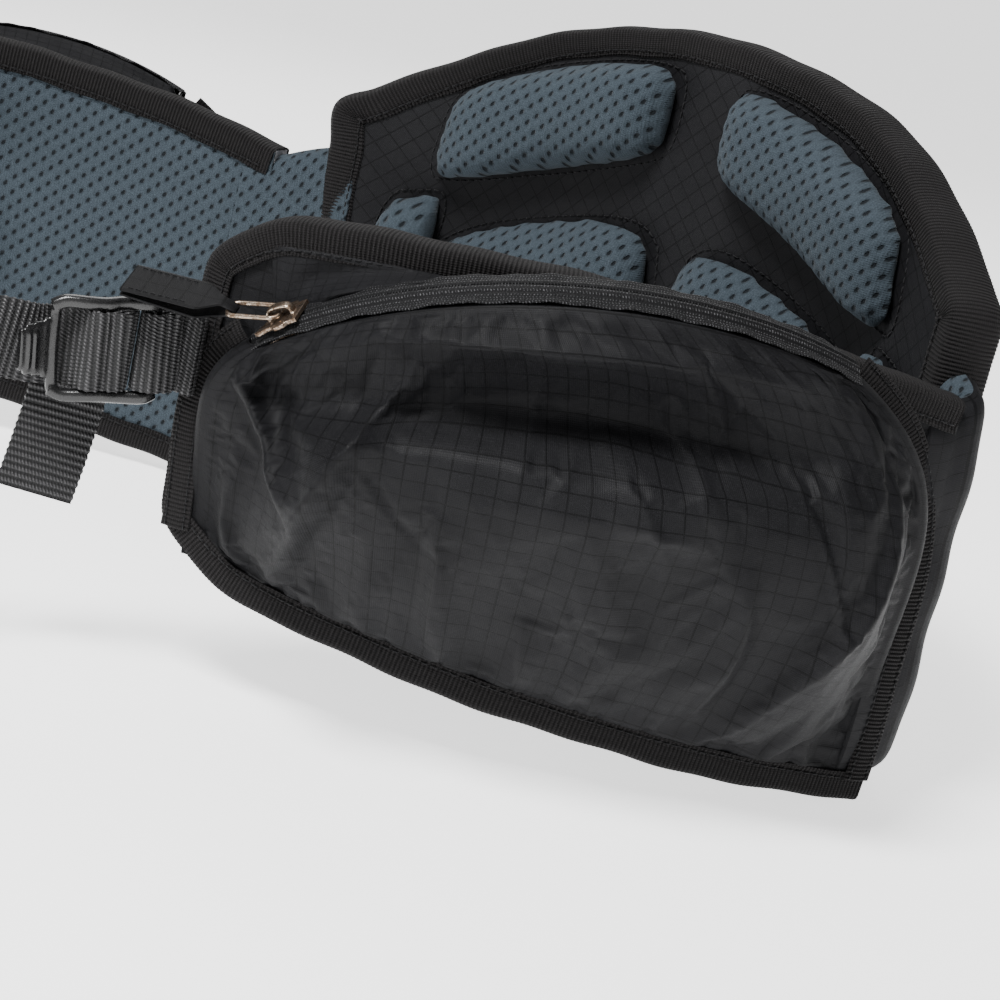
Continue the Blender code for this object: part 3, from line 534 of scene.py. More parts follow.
def moulded(name, shapes, place, look, voxel=0.45 * MM, rounds=4, pockets=()):
    """Shapes melted into one moulded part with soft edges, less the pockets, and put in place."""
    points, faces = joined(shapes)
    piece = face_out(add_object(name, points, faces, look))
    for count, (some, rest) in enumerate(pockets):
        cutter = face_out(add_object(f"{name}_cut_{count}", some, rest, look))
        modifier = piece.modifiers.new("cut", "BOOLEAN")
        modifier.operation = "DIFFERENCE"
        modifier.solver = "EXACT"
        modifier.use_self = True
        modifier.object = cutter
    remesh = piece.modifiers.new("melt", "REMESH")
    remesh.mode = "VOXEL"
    remesh.voxel_size = voxel
    smooth = piece.modifiers.new("soften", "SMOOTH")
    smooth.factor = 0.5
    smooth.iterations = rounds
    mesh = evaluated_mesh(piece)
    for leftover in [item for item in bpy.data.objects if item.name.startswith(f"{name}_cut_")] + [piece]:
        bpy.data.objects.remove(leftover, do_unlink=True)
    mesh.transform(place)
    if place.determinant() < 0:
        mesh.flip_normals()
    mesh.shade_smooth()
    result = bpy.data.objects.new(name, mesh)
    bpy.context.scene.collection.objects.link(result)
    return result


def evaluated_mesh(piece):
    bpy.context.view_layer.update()
    graph = bpy.context.evaluated_depsgraph_get()
    return bpy.data.meshes.new_from_object(piece.evaluated_get(graph))


def resampled(points, spacing):
    """Points at an even spacing along a line, with their distances along it."""
    points = np.asarray(points, float)
    lengths = np.concatenate([[0], np.cumsum(np.linalg.norm(np.diff(points, axis=0), axis=-1))])
    count = max(2, int(round(lengths[-1] / spacing)) + 1)
    places = np.linspace(0, lengths[-1], count)
    return np.stack([np.interp(places, lengths, points[:, axis]) for axis in range(3)], -1), places


def smooth_line(points, samples=400):
    """A Catmull-Rom curve through the points."""
    points = np.asarray(points, float)
    points = np.vstack([2 * points[0] - points[1], points, 2 * points[-1] - points[-2]])
    spans = len(points) - 3
    place = np.linspace(0, spans, samples)
    index = np.minimum(place.astype(int), spans - 1)
    t = (place - index)[:, None]
    a, b, c, d = (points[index + step] for step in range(4))
    return 0.5 * (2 * b + (c - a) * t + (2 * a - 5 * b + 4 * c - d) * t**2 + (3 * b - a - 3 * c + d) * t**3)


def stitches(name, path, normal, body, pitch=3.3 * MM, share=0.72, radius=0.26 * MM):
    """A row of machine stitches along a line, each one a short thread that dips at both ends."""
    line, places = resampled(path, 0.5 * MM)
    normal = unit(np.asarray(normal, float) * np.ones_like(line)) if np.ndim(normal) == 1 else normal
    if len(normal) != len(line):
        source = np.linspace(0, 1, len(normal))
        target = np.linspace(0, 1, len(line))
        normal = unit(np.stack([np.interp(target, source, normal[:, axis]) for axis in range(3)], -1))
    shapes = []
    count = int(places[-1] // pitch)
    profile = np.linspace(-1, 1, 5)
    for stitch in range(count):
        centre = (stitch + 0.5) * pitch
        spots = centre + profile * pitch * share / 2
        way = np.stack([np.interp(spots, places, line[:, axis]) for axis in range(3)], -1)
        up = np.stack([np.interp(spots, places, normal[:, axis]) for axis in range(3)], -1)
        way = way + up * (0.22 * MM - 0.45 * MM * profile[:, None] ** 4)
        shapes.append(sweep(way, np.cross(up, np.gradient(way, axis=0)), radius, radius, 6))
    points, faces = joined(shapes)
    return finish(face_out(add_object(name, points, faces, "thread")), body, "grosgrain")


def finish(piece, body, slot, *nodes):
    """Puts a finished piece on its body and hides the nodes that it stands for; slot, its finish, is not used.
    """
    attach(piece, body)
    if nodes:
        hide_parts(*nodes)
    return piece


def dimples(cloth, pitch, width):
    """How deep the mesh's dimples are, from 0 to 1, at these cloth coordinates."""
    depth = np.zeros(cloth.shape[:-1])
    for offset in (0.0, 0.5):
        across = ((cloth[..., 0] / pitch[0] + offset) % 1 - 0.5) * pitch[0]
        up = ((cloth[..., 1] / pitch[1] + offset) % 1 - 0.5) * pitch[1]
        depth = np.maximum(depth, np.exp(-(across**2 + (up * 0.75) ** 2) / width**2))
    return depth


# ---------------------------------------------------------------- the pack's own surfaces


def lumbar_x(y):
    beyond = np.maximum(0.0, abs(y) - LUMBAR_FLAT) / (LUMBAR_HALF - LUMBAR_FLAT)
    return LUMBAR_SWEEP * (1 - beyond * beyond)


def lumbar_point(y, z, offset):
    """A point on the lumbar pad at a width and a height, offset to the rear of the foam's middle."""
    y, z, offset = np.broadcast_arrays(np.asarray(y, float), z, offset)
    step = 0.5 * MM
    slope = (lumbar_x(y + step) - lumbar_x(y - step)) / (2 * step)
    length = np.hypot(1, slope)
    return SHIFT + np.stack([lumbar_x(y) + offset / length, y - offset * slope / length, z], -1)


def lumbar_top(y):
    return LUMBAR_HEIGHT - LUMBAR_DROP * abs(y / LUMBAR_HALF) ** 2.2


def lumbar_bottom(y):
    return 14 * MM * abs(y / LUMBAR_HALF) ** 3


def wing_top(station):
    crown = 19 * MM * np.sin(math.pi * 0.8 * station)
    return ROOT_TOP + crown - 14 * MM * np.maximum(0.0, (station - 0.85) / 0.15) ** 3


def wing_bottom(station):
    station = np.maximum(station, 0.0)
    return 36 * MM * station**1.25 + 15 * MM * np.maximum(0.0, (station - 0.8) / 0.2) ** 3


def wing_point(station, z, offset):
    """A point in the wing's frame at a station from 0 at the hinge to 1 at the tip."""
    station, z, offset = np.broadcast_arrays(np.asarray(station, float), z, offset)
    angle = (2 * station - 1) * ANGLE
    x = CHORD / 2 + (RADIUS + offset) * np.sin(angle)
    return np.stack([x, (RADIUS + offset) * np.cos(angle) - RADIUS * math.cos(ANGLE), z], -1)


def wing_place(points):
    """The station, height and offset of points in the wing's frame."""
    x = points[..., 0] - CHORD / 2
    y = points[..., 1] + RADIUS * math.cos(ANGLE)
    return (np.arctan2(x, y) / ANGLE + 1) / 2, points[..., 2], np.hypot(x, y) - RADIUS


class Place:
    """The frame of a wing, or of a part on it. The right wing's frame is mirrored."""

    def __init__(self, matrix):
        self.matrix = matrix
        self.turn = np.array(matrix.to_3x3())
        self.origin = np.array(matrix.translation)

    def __call__(self, points):
        return self.origin + np.asarray(points) @ self.turn.T

    def way(self, direction):
        return np.asarray(direction, float) @ self.turn.T


def wing_frame(side, heading):
    end = lumbar_point(side * LUMBAR_HALF, 0, 0)
    inside = lumbar_point(side * (LUMBAR_HALF - MM), 0, 0)
    root = end + unit(end - inside) * (HINGE_GAP + 2 * TAPE)
    turn = math.radians(heading)
    chord = Vector((math.cos(turn), math.sin(turn), 0))
    outward = Vector((-chord.y, chord.x, 0)) * -side
    rotation = Matrix((chord, outward, (0, 0, 1))).transposed().to_4x4()
    return Place(Matrix.Translation(Vector(root)) @ rotation)


class Zip:
    """The closed zip, a surface of revolution about the axis of its arc, in the wing's frame."""

    def __init__(self):
        first, middle, last = (Vector(wing_point(*place)) for place in ZIP_POINTS)
        a, b = middle - first, last - first
        normal = a.cross(b)
        centre = first + (a.length_squared * b.cross(normal) + b.length_squared * normal.cross(a)) / (
            2 * normal.length_squared
        )
        out = (first - centre).normalized()
        to_last = last - centre
        rearward = (to_last - to_last.project(out)).normalized()
        self.radius = (first - centre).length
        self.sweep = math.atan2(to_last.dot(rearward), to_last.dot(out))
        self.centre, self.out, self.rearward = np.array(centre), np.array(out), np.array(rearward)
        self.axis = np.cross(self.out, self.rearward)

    def point(self, angle, across, lift):
        together = np.broadcast_arrays(np.asarray(angle, float), across, lift)
        angle, across, lift = (item[..., None] for item in together)
        radial = self.out * np.cos(angle) + self.rearward * np.sin(angle)
        over = self.axis * math.cos(ZIP_LEAN) - radial * math.sin(ZIP_LEAN)
        normal = radial * math.cos(ZIP_LEAN) + self.axis * math.sin(ZIP_LEAN)
        return self.centre + radial * self.radius + over * across + normal * lift

    def frame_at(self, angle):
        origin = self.point(angle, 0, 0)
        down = Vector(self.point(angle, -1, 0) - origin).normalized()
        normal = Vector(self.point(angle, 0, 1) - origin).normalized()
        rotation = Matrix((down.cross(normal), down, normal)).transposed().to_4x4()
        return Matrix.Translation(Vector(origin)) @ rotation


ZIP = Zip()


# ---------------------------------------------------------------- padding


def inflated(piece, pressure, cap, pinned=None, shrink=0.0):
    """The piece's mesh after cloth pressure has swelled it, with no point moved further than cap."""
    before = np.array([vert.co for vert in piece.data.vertices])
    if pinned is not None:
        group = piece.vertex_groups.new(name="pin")
        group.add([int(index) for index in np.flatnonzero(pinned)], 1.0, "REPLACE")
    modifier = piece.modifiers.new("swell", "CLOTH")
    settings = modifier.settings
    settings.quality = 6
    settings.mass = 0.2
    settings.tension_stiffness = 12
    settings.compression_stiffness = 12
    settings.shear_stiffness = 6
    settings.bending_stiffness = 0.6
    settings.effector_weights.gravity = 0
    settings.use_pressure = True
    settings.uniform_pressure_force = pressure
    settings.shrink_min = shrink
    if pinned is not None:
        settings.vertex_group_mass = "pin"
    for step in range(1, 21):
        bpy.context.scene.frame_set(step)
    after = np.array([vert.co for vert in evaluated_mesh(piece).vertices])
    bpy.context.scene.frame_set(1)
    piece.modifiers.remove(modifier)
    move = after - before
    length = np.linalg.norm(move, axis=1, keepdims=True)
    move *= np.minimum(1.0, cap / np.maximum(length, 1e-9))
    piece.data.vertices.foreach_set("co", (before + move).astype(np.float32).ravel())
    piece.data.update()
    return piece


def remeshed(piece, voxel, levels, rounds=2):
    """The piece remade of even quads, each then divided."""
    remesh = piece.modifiers.new("remesh", "REMESH")
    remesh.mode = "VOXEL"
    remesh.voxel_size = voxel
    smooth = piece.modifiers.new("smooth", "SMOOTH")
    smooth.iterations = rounds
    mesh = evaluated_mesh(piece)
    piece.modifiers.clear()
    piece.data = mesh
    divide = piece.modifiers.new("divide", "SUBSURF")
    divide.levels = divide.render_levels = levels
    return piece


def vertex_array(mesh, what, width=3):
    values = np.empty(len(mesh.vertices) * width, np.float32)
    mesh.vertices.foreach_get(what, values)
    return values.reshape(-1, width).astype(float)


def set_cloth(mesh, cloth):
    values = np.zeros((len(mesh.vertices), 3), np.float32)
    values[:, :2] = cloth
    attribute = mesh.attributes.get("cloth") or mesh.attributes.new("cloth", "FLOAT_VECTOR", "POINT")
    attribute.data.foreach_set("vector", values.ravel())


def line_of(start, end, bow):
    return lambda u: start + (end - start) * u + bow * 4 * u * (1 - u)


def pad_points(side, kind, grid=(28, 22)):
    """The front and back faces of a pad as two grids of points."""
    inner, outer, low, high = PADS[kind]
    u, v = np.meshgrid(np.linspace(0, 1, grid[0]), np.linspace(0, 1, grid[1]))
    crown = (1 - abs(2 * u - 1) ** 5) * (1 - abs(2 * v - 1) ** 5)
    u, v = 0.5 + (u - 0.5) * (1 - 0.07 * (2 * v - 1) ** 4), 0.5 + (v - 0.5) * (1 - 0.15 * (2 * u - 1) ** 6)
    low, high = line_of(*low)(u), line_of(*high)(u)
    z = low + (high - low) * v + PAD_EASE * (2 * v - 1)
    near, far = inner[0] - inner[1] * z - PAD_EASE, outer[0] - outer[1] * z + PAD_EASE
    y = near + (far - near) * u
    front = lumbar_point(side * y, z, PAD_BACK - PAD_DEPTH * (0.22 + 0.72 * crown**0.55))
    return front, lumbar_point(side * y, z, PAD_BACK)


def closed_pad(name, front, back):
    """A closed body between two grids of points that share their outline."""
    rows, columns = front.shape[:2]
    count = rows * columns
    faces = [tuple(face) for face in grid_faces(rows, columns).tolist()]
    faces += [tuple(corner + count for corner in face[::-1]) for face in faces]
    index = np.arange(count).reshape(rows, columns)
    rim = np.concatenate([index[0, :-1], index[:-1, -1], index[-1, :0:-1], index[:0:-1, 0]]).tolist()
    for here, there in zip(rim, rim[1:] + rim[:1]):
        faces.append((there, here, here + count, there + count))
    points = np.concatenate([front.reshape(-1, 3), back.reshape(-1, 3)])
    return face_out(add_object(name, points, faces, "air_mesh"))


def lumbar_pad(side, word, kind):
    """A crowned foam pad under air mesh: swelled by cloth pressure, then dimpled at the mesh's holes."""
    name = f"lumbar_{kind}_{word}"
    front, back = pad_points(side, kind)
    piece = remeshed(closed_pad(f"{name}_cover", front, back), 4.5 * MM, 0)
    rear = vertex_array(piece.data, "co")
    rear_x = lumbar_x(rear[:, 1] - SHIFT[1]) + SHIFT[0] + PAD_BACK
    piece = inflated(piece, 4.0, 3.0 * MM, rear[:, 0] > rear_x - 1.5 * MM)
    divide = piece.modifiers.new("divide", "SUBSURF")
    divide.levels = divide.render_levels = 2
    mesh = evaluated_mesh(piece)
    piece.modifiers.clear()
    points, normals = vertex_array(mesh, "co"), vertex_array(mesh, "normal")
    cloth = np.stack([(points[:, 1] - SHIFT[1]) * 1.08, points[:, 2]], -1)
    scale = 1.25 if kind == "side_roll" else 1.0
    cloth /= scale
    facing = np.clip(-normals[:, :1] * 2 - 0.3, 0, 1)
    depth = 0.75 * MM * scale * dimples(cloth, MESH_PITCH, 1.9 * MM)[:, None]
    points -= normals * facing * (depth - 0.25 * MM)
    mesh.vertices.foreach_set("co", points.astype(np.float32).ravel())
    set_cloth(mesh, cloth)
    mesh.shade_smooth()
    piece.data = mesh
    finish(piece, "lumbar", "air_mesh", name)
    rim = np.concatenate([back[0, :-1], back[:-1, -1], back[-1, :0:-1], back[:0:-1, 0], back[:1, 0]])
    edge = rim + unit(rim - rim.mean(axis=0)) * 1.2 * MM + np.array((-0.2 * MM, 0, 0))
    stitches(f"{name}_seam", edge, (-1, 0, 0), "lumbar")
    return piece


# ---------------------------------------------------------------- edge tapes


TAPE_FOLDS = 9


def fold_profile(front, back):
    """(distance in from the edge, offset, distance round) across a tape folded over an edge."""
    middle, half = (front + back) / 2, (front - back) / 2
    flat = np.linspace(TAPE_WIDTH, 2.6 * MM, 9)
    turn = np.linspace(0, math.pi, TAPE_FOLDS + 2)[1:-1]
    reach = np.concatenate([flat, 2.6 * MM - 3.2 * MM * np.sin(turn) ** 0.8, flat[::-1]])
    share = np.concatenate([np.ones(9), np.cos(turn), -np.ones(9)])
    lip = np.concatenate([np.linspace(1, 0, 9) ** 4, np.zeros(TAPE_FOLDS + 9)])
    offset = middle + share * half + (lip + lip[::-1]) * 0.35 * MM
    around = np.concatenate([[0], np.cumsum(np.hypot(np.diff(reach), np.diff(offset)))])
    return reach, offset, around


def edge_tape(name, outline, place, front, back, inward_sign, outward, body, node):
    """Ribbed tape folded over an edge. outline holds flat points, and place(y, z, offset) bends them."""
    flat = np.hstack([np.asarray(outline), np.zeros((len(outline), 1))])
    line, along = resampled(smooth_line(flat, 1200), RIB_TAPE / 4)
    tangent = unit(np.gradient(line, axis=0))
    inward = np.stack([-tangent[:, 1], tangent[:, 0]], -1) * inward_sign
    reach, offset, around = fold_profile(front, back)
    rib = 0.14 * MM * np.sin(TURN * along / RIB_TAPE)[None] * np.clip((around - 1 * MM) / MM, 0, 1)[:, None]
    seam_at = TAPE_WIDTH - 2.0 * MM
    dent = 0.4 * MM * np.exp(-(((reach - seam_at) / (0.8 * MM)) ** 2))[:, None]
    wander = 0.35 * MM * np.sin(along / (13 * MM)) + 0.25 * MM * np.sin(along / (4.7 * MM) + 1.3)
    flat_y = line[None, :, 0] + inward[None, :, 0] * (reach[:, None] + wander[None])
    flat_z = line[None, :, 1] + inward[None, :, 1] * (reach[:, None] + wander[None])
    sign = np.sign(offset - (front + back) / 2)[:, None]
    points = place(flat_y, flat_z, offset[:, None] + sign * (rib - dent))
    cloth = np.stack(np.broadcast_arrays(along[None], around[:, None]), -1)
    weights = np.where(sign > 0, 1.0, -1.0)[..., None] * np.asarray(outward)
    piece = skin(name, points, weights, "grosgrain", 0.6 * MM, cloth)
    finish(piece, body, "grosgrain", node)
    for word, level, way in (("outer", front, 1), ("inner", back, -1)):
        row = line + np.hstack([inward * seam_at, np.zeros((len(line), 1))])
        seam = place(row[:, 0], row[:, 1], level + way * 0.1 * MM)
        stitches(f"{name}_{word}_stitches", seam, np.asarray(outward, float) * way, body)
    return piece


# ---------------------------------------------------------------- lumbar pad


def lumbar_outline():
    across = -np.linspace(0, 1, 16)
    up = np.linspace(0, 1, 10)[1:-1]
    stops = [(part, 0.0) for part in across] + [(-1.0, part) for part in up]
    stops += [(part, 1.0) for part in across[::-1]]
    stops += [(-part, height) for part, height in stops[::-1][1:]]
    parts, heights = np.array(stops).T
    y = parts * LUMBAR_HALF
    return np.stack([y, lumbar_bottom(y) + (lumbar_top(y) - lumbar_bottom(y)) * heights], -1)


def lumbar_face(name, offset, outward, look, node, swell, inset):
    u, v = np.meshgrid(np.linspace(-1, 1, 150), np.linspace(0, 1, 110))
    y = (LUMBAR_HALF - inset) * u
    low, high = lumbar_bottom(y) + inset, lumbar_top(y) - inset
    z = low + (high - low) * v
    ripple = 0.25 * MM * np.sin(z / (9 * MM) + 3 * u) * np.sin(y / (14 * MM))
    crown = np.clip(1.2 - abs(u) ** 6 - abs(2 * v - 1) ** 6, 0, 1)
    points = lumbar_point(y, z, offset + np.sign(offset) * (swell * crown + ripple * crown))
    cloth = np.stack([y * 1.05, z], -1)
    if look == "panel":
        cloth = np.stack([(y + z) * 0.7071, (z - y) * 0.7071], -1)
    return finish(skin(name, points, outward, look, 0.5 * MM, cloth), "lumbar", "ripstop", node)


def build_lumbar():
    lumbar_face("lumbar_rear_fabric", 9.0 * MM, (1, 0, 0), "ripstop", "lumbar_rear_cover", 0.9 * MM, 4 * MM)
    lumbar_face("lumbar_channel_fabric", -8.6 * MM, (-1, 0, 0), "panel", "lumbar_front_panel", 0.0, 4 * MM)

    def place(y, z, offset):
        return lumbar_point(y, z, offset)

    faces = (LUMBAR_TAPE, -LUMBAR_TAPE)
    edge_tape("lumbar_tape", lumbar_outline(), place, *faces, -1, (1, 0, 0), "lumbar", "lumbar_edge_binding")
    for side, word, _ in SIDES:
        for kind in PADS:
            lumbar_pad(side, word, kind)


# ---------------------------------------------------------------- wings


WING_START = HINGE_GAP / ARC
COVER_LEVEL = 7.1 * MM
COVER_SPACING = 2.5 * MM
LINING_LEVEL = -7.2 * MM
WING_TAPE_FACES = (8.5 * MM, -8.2 * MM)


def wing_face(word, kind, level, crown, outward, look, wing, node, spacing=1.1 * MM):
    """One face of a wing, from the hinge to the tip, crowned away from the foam by crown."""
    columns, rows = int(ARC / spacing), int(ROOT_TOP / spacing)
    u, v = np.meshgrid(np.linspace(0, 1, columns), np.linspace(0, 1, rows))
    station = WING_START + (1 - 2 * MM / ARC - WING_START) * u
    low, high = wing_bottom(station) + 2 * MM, wing_top(station) - 2 * MM
    z = low + (high - low) * v
    inside = np.minimum(np.minimum(z - low, high - z), (1 - station) * ARC)
    height = ease((inside - TAPE_WIDTH + 3 * MM) / (13 * MM))
    quilt = 1 + 0.10 * np.sin(u * 23 + 2 * v) * np.sin(v * 9)
    offset = np.full_like(u, level) + np.sign(level) * crown * height * quilt
    flat = np.stack([station * ARC, z], -1)
    if look == "air_mesh":
        offset -= np.sign(level) * 0.7 * MM * dimples(flat, MESH_PITCH, 1.9 * MM)
    points = wing(wing_point(station, z, offset))
    piece = skin(f"{word}_wing_{kind}", points, wing.way(outward), look, 0.5 * MM, flat)
    finish(piece, f"{word}_wing", look if look == "air_mesh" else "ripstop", node)
    return piece


def wing_outline():
    stations = np.linspace(WING_START, 0.988, 26)
    lower = np.stack([stations * ARC, wing_bottom(stations)], -1)
    upper = np.stack([stations * ARC, wing_top(stations)], -1)[::-1]
    parts = np.array((0.06, 0.28, 0.5, 0.72, 0.94))[:, None]
    corner, far = np.array((ARC, wing_bottom(1.0))), np.array((ARC, wing_top(1.0)))
    tip = corner + (far - corner) * parts
    tip[:, 0] += np.array((0.6, 1.2, 1.4, 1.2, 0.6)) * MM
    return np.vstack([lower, tip, upper])


def hinge_cover(side, word, wing):
    """The padded fold of fabric that joins a wing to the lumbar pad."""
    start = lumbar_point(side * (LUMBAR_HALF - 10 * MM), 0, 0)
    edge = lumbar_point(side * LUMBAR_HALF, 0, 0)
    root = wing.origin
    far = wing(wing_point(WING_START + 0.045, 0, 0))
    line = smooth_line([start, edge, root, wing(wing_point(WING_START, 0, 0)), far], 60)
    across = unit(np.cross(np.gradient(line, axis=0), (0, 0, 1.0)))
    across *= -np.sign(across[0, 0])
    v = np.concatenate([np.linspace(0, 0.06, 6), np.linspace(0.09, 0.91, 50), np.linspace(0.94, 1, 6)])
    part = np.linspace(0, 1, 60)[None, :]
    low = (16 - 10 * ease(part)) * MM
    high = (148 - 11 * ease(part)) * MM
    z = low + (high - low) * v[:, None]
    swell = np.sqrt(np.clip(1 - abs(2 * v - 1) ** 9, 0, 1))[:, None]
    pucker = 0.5 * MM * np.sin(z / (5.5 * MM)) * np.sin(math.pi * part) ** 2
    depth = ((9.9 - 2.6 * np.sin(math.pi * part) ** 2) * MM + pucker) * swell
    middle = np.broadcast_to(line[None], (*z.shape, 3)).copy()
    middle[..., 2] = SHIFT[2] + z
    front = middle + across[None] * depth[..., None]
    back = middle - across[None] * depth[..., None]
    flat = cloth_of(front).reshape(-1, 2)
    ends = dict(start=tuple(edge), end=tuple(wing(wing_point(WING_START, 0, 0))))
    for kind, look, near, rear in (("lining", "air_mesh", front, middle), ("cover", "panel", middle, back)):
        piece = closed_pad(f"{word}_hinge_{kind}", near, rear)
        piece.data.materials[0] = LOOKS[look]
        set_cloth(piece.data, np.vstack([flat, flat]))
        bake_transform(piece)
        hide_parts(f"{word}_hinge_roll")


# ---------------------------------------------------------------- pocket


POCKET_CLOTH = (265 * MM, 150 * MM)
TOP_CLOTH = (265 * MM, 48 * MM)
PANEL_SIZE = np.array((232 * MM, 132 * MM))
# Creases in the pocket's fabric: points as (rear to front, bottom to zip), height, width and how
# one-sided it is.
CREASES = (
    (((1.0, 0.95), (0.92, 0.70), (0.82, 0.39)), 13.0 * MM, 6.5 * MM, 0.9),
    (((0.71, 0.86), (0.77, 0.62), (0.82, 0.40), (0.87, 0.12)), 15.0 * MM, 9.0 * MM, -0.9),
    (((0.94, 0.82), (0.89, 0.68), (0.86, 0.54)), -11.0 * MM, 8.0 * MM, 0.0),
    (((0.90, 0.76), (0.62, 0.74), (0.40, 0.75), (0.10, 0.80)), -21.0 * MM, 13.0 * MM, 0.8),
    (((0.80, 0.93), (0.50, 0.90), (0.16, 0.93)), 7.0 * MM, 6.0 * MM, 0.0),
    (((0.66, 0.55), (0.50, 0.57), (0.32, 0.55)), 4.5 * MM, 14.0 * MM, 0.3),
    (((0.05, 0.84), (0.12, 0.52), (0.20, 0.24), (0.24, 0.07)), 6.5 * MM, 6.0 * MM, 0.9),
    (((0.02, 0.68), (0.06, 0.48), (0.10, 0.34)), 4.0 * MM, 4.5 * MM, -0.7),
    (((0.46, 0.70), (0.39, 0.45), (0.36, 0.10)), 4.5 * MM, 8.0 * MM, 0.7),
    (((0.30, 0.55), (0.28, 0.30), (0.29, 0.08)), 4.5 * MM, 6.0 * MM, -0.7),
    (((0.66, 0.52), (0.64, 0.32), (0.65, 0.08)), 4.0 * MM, 7.0 * MM, 0.7),
    (((0.93, 0.10), (0.95, 0.28), (0.93, 0.46)), 4.0 * MM, 3.8 * MM, 0.7),
    (((0.52, 0.08), (0.53, 0.28)), 3.0 * MM, 4.5 * MM, -0.6),
)
WRINKLES = 70


def crease(flat, way, height, width, lean):
    """A ridge or a hollow along a line through points on the flat panel; lean makes one side steeper."""
    line = smooth_line(np.hstack([np.array(way) * PANEL_SIZE, np.zeros((len(way), 1))]), 160)[:, :2]
    along = unit(np.gradient(line, axis=0))
    gap = flat[..., None, :] - line
    distance = (gap**2).sum(-1)
    nearest = distance.argmin(-1)
    away = flat - line[nearest]
    signed = away[..., 0] * along[nearest, 1] - away[..., 1] * along[nearest, 0]
    beyond = (away * along[nearest]).sum(-1)
    fade = np.sin(math.pi * np.clip((nearest + 2) / (len(line) + 3), 0, 1)) ** 0.7
    spread = width * (1 + lean * np.tanh(signed / width) * 0.75)
    sharpness = 1.3 if height > 0 else 2.0
    return height * fade * np.exp(-(abs(signed / spread) ** sharpness) - (beyond / width) ** 2)


def wrinkles(flat):
    """Short creases scattered over the cloth, most of them running down from the zip."""
    random = np.random.default_rng(11)
    depth = np.zeros(flat.shape[:-1])
    for _ in range(WRINKLES):
        middle = random.uniform(0.04, 0.96, 2) * PANEL_SIZE
        turn = random.normal(1.75, 0.55)
        way = np.array((math.cos(turn), math.sin(turn)))
        gap = flat - middle
        along = gap @ way
        across = gap @ np.array((-way[1], way[0])) + 0.012 * np.sin(along / 0.018) * random.uniform(-0.3, 0.3)
        length, width = random.uniform(9, 24) * MM, random.uniform(1.8, 4.2) * MM
        height = random.uniform(0.35, 1.3) * MM * random.choice((-1, 1))
        depth += height * np.exp(-abs(across / width) ** 1.4 - (along / length) ** 4)
    return depth


def pocket_fold(u, v):
    """How far the pocket's fabric stands off its smooth shape: creases, gathers and soft waves."""
    flat = np.stack([u, v], -1) * PANEL_SIZE
    depth = sum(crease(flat, *spec) for spec in CREASES) + wrinkles(flat)
    gather = np.exp(-(((v - 0.12) / 0.10) ** 2)) * (0.9 * np.sin(u * 61 + 1.0) + 0.6 * np.sin(u * 103)) * MM
    under_zip = np.exp(-(((v - 0.97) / 0.05) ** 2)) * 0.5 * MM * np.sin(u * 74)
    wave = 1.1 * MM * np.sin(u * 17 + 5 * v) * np.sin(v * 8 + 2 * u)
    edge = ease(u / 0.07) * ease((1 - u) / 0.07) * ease((v - 0.075) / 0.05) * ease((1 - v) / 0.05)
    return (depth + gather + under_zip + wave) * edge


def pocket_panel(u, v):
    """Station, height and offset of the pocket's fabric; u runs rear to front, v from bottom to zip."""
    seam = wing_place(ZIP.point(ZIP.sweep * (1 - u), -ZIP_HALF + 0.4 * MM, -0.7 * MM))
    foot = POCKET_REAR + (POCKET_FRONT - POCKET_REAR) * u
    base = wing_bottom(foot) + 2 * MM
    slope = (wing_bottom(foot + 0.01) - wing_bottom(foot - 0.01)) / (0.02 * ARC)
    flat = TAPE_WIDTH * np.hypot(1, slope) - 2.5 * MM
    rise = np.clip((v - 0.07) / 0.93, 0, 1)
    station = foot + (seam[0] - foot) * rise**5
    z = np.where(v < 0.07, base + flat * v / 0.07, base + flat + (seam[1] - base - flat) * rise)
    ends = ease((u - 0.01) / 0.16) * ease((0.99 - u) / 0.30)
    bulge = 0.86 * BULGE * ends * np.sin(math.pi * rise**0.8) ** 0.8
    offset = SEAM + (seam[2] - SEAM) * ease(rise) + bulge + pocket_fold(u, v)
    return station, z, offset


def top_panel(u, v):
    """The fabric from the zip's upper tape (v 0) back to the wing's top tape (v 1)."""
    seam = wing_place(ZIP.point(ZIP.sweep * (1 - u), ZIP_HALF - 0.4 * MM, -0.7 * MM))
    target = wing_top(seam[0]) - TAPE_WIDTH + 2.5 * MM
    front = ease((u - 0.55) / 0.2) * ease((0.93 - u) / 0.06)
    lip = 2.4 * MM * front * np.exp(-(((v - 0.16) / 0.12) ** 2)) * (1 + 0.35 * np.sin(u * 29))
    slack = np.sin(math.pi * v) ** 2 * (1.6 * np.sin(u * 9 + 4 * v) - 1.0) * MM
    inside = ease(u / 0.06) * ease((1 - u) / 0.06)
    offset = seam[2] + (8.4 * MM - seam[2]) * v + (lip + slack) * inside
    return seam[0], seam[1] + (target - seam[1]) * v, offset


def end_seam(panel, v, front):
    """(station, height) where a pocket's rear or front end is sewn to the wing."""
    station, z, _ = panel(np.full_like(v, 1.0 if front else 0.0), v)
    return station + (1 if front else -1) * (0.010 + 0.022 * v), z


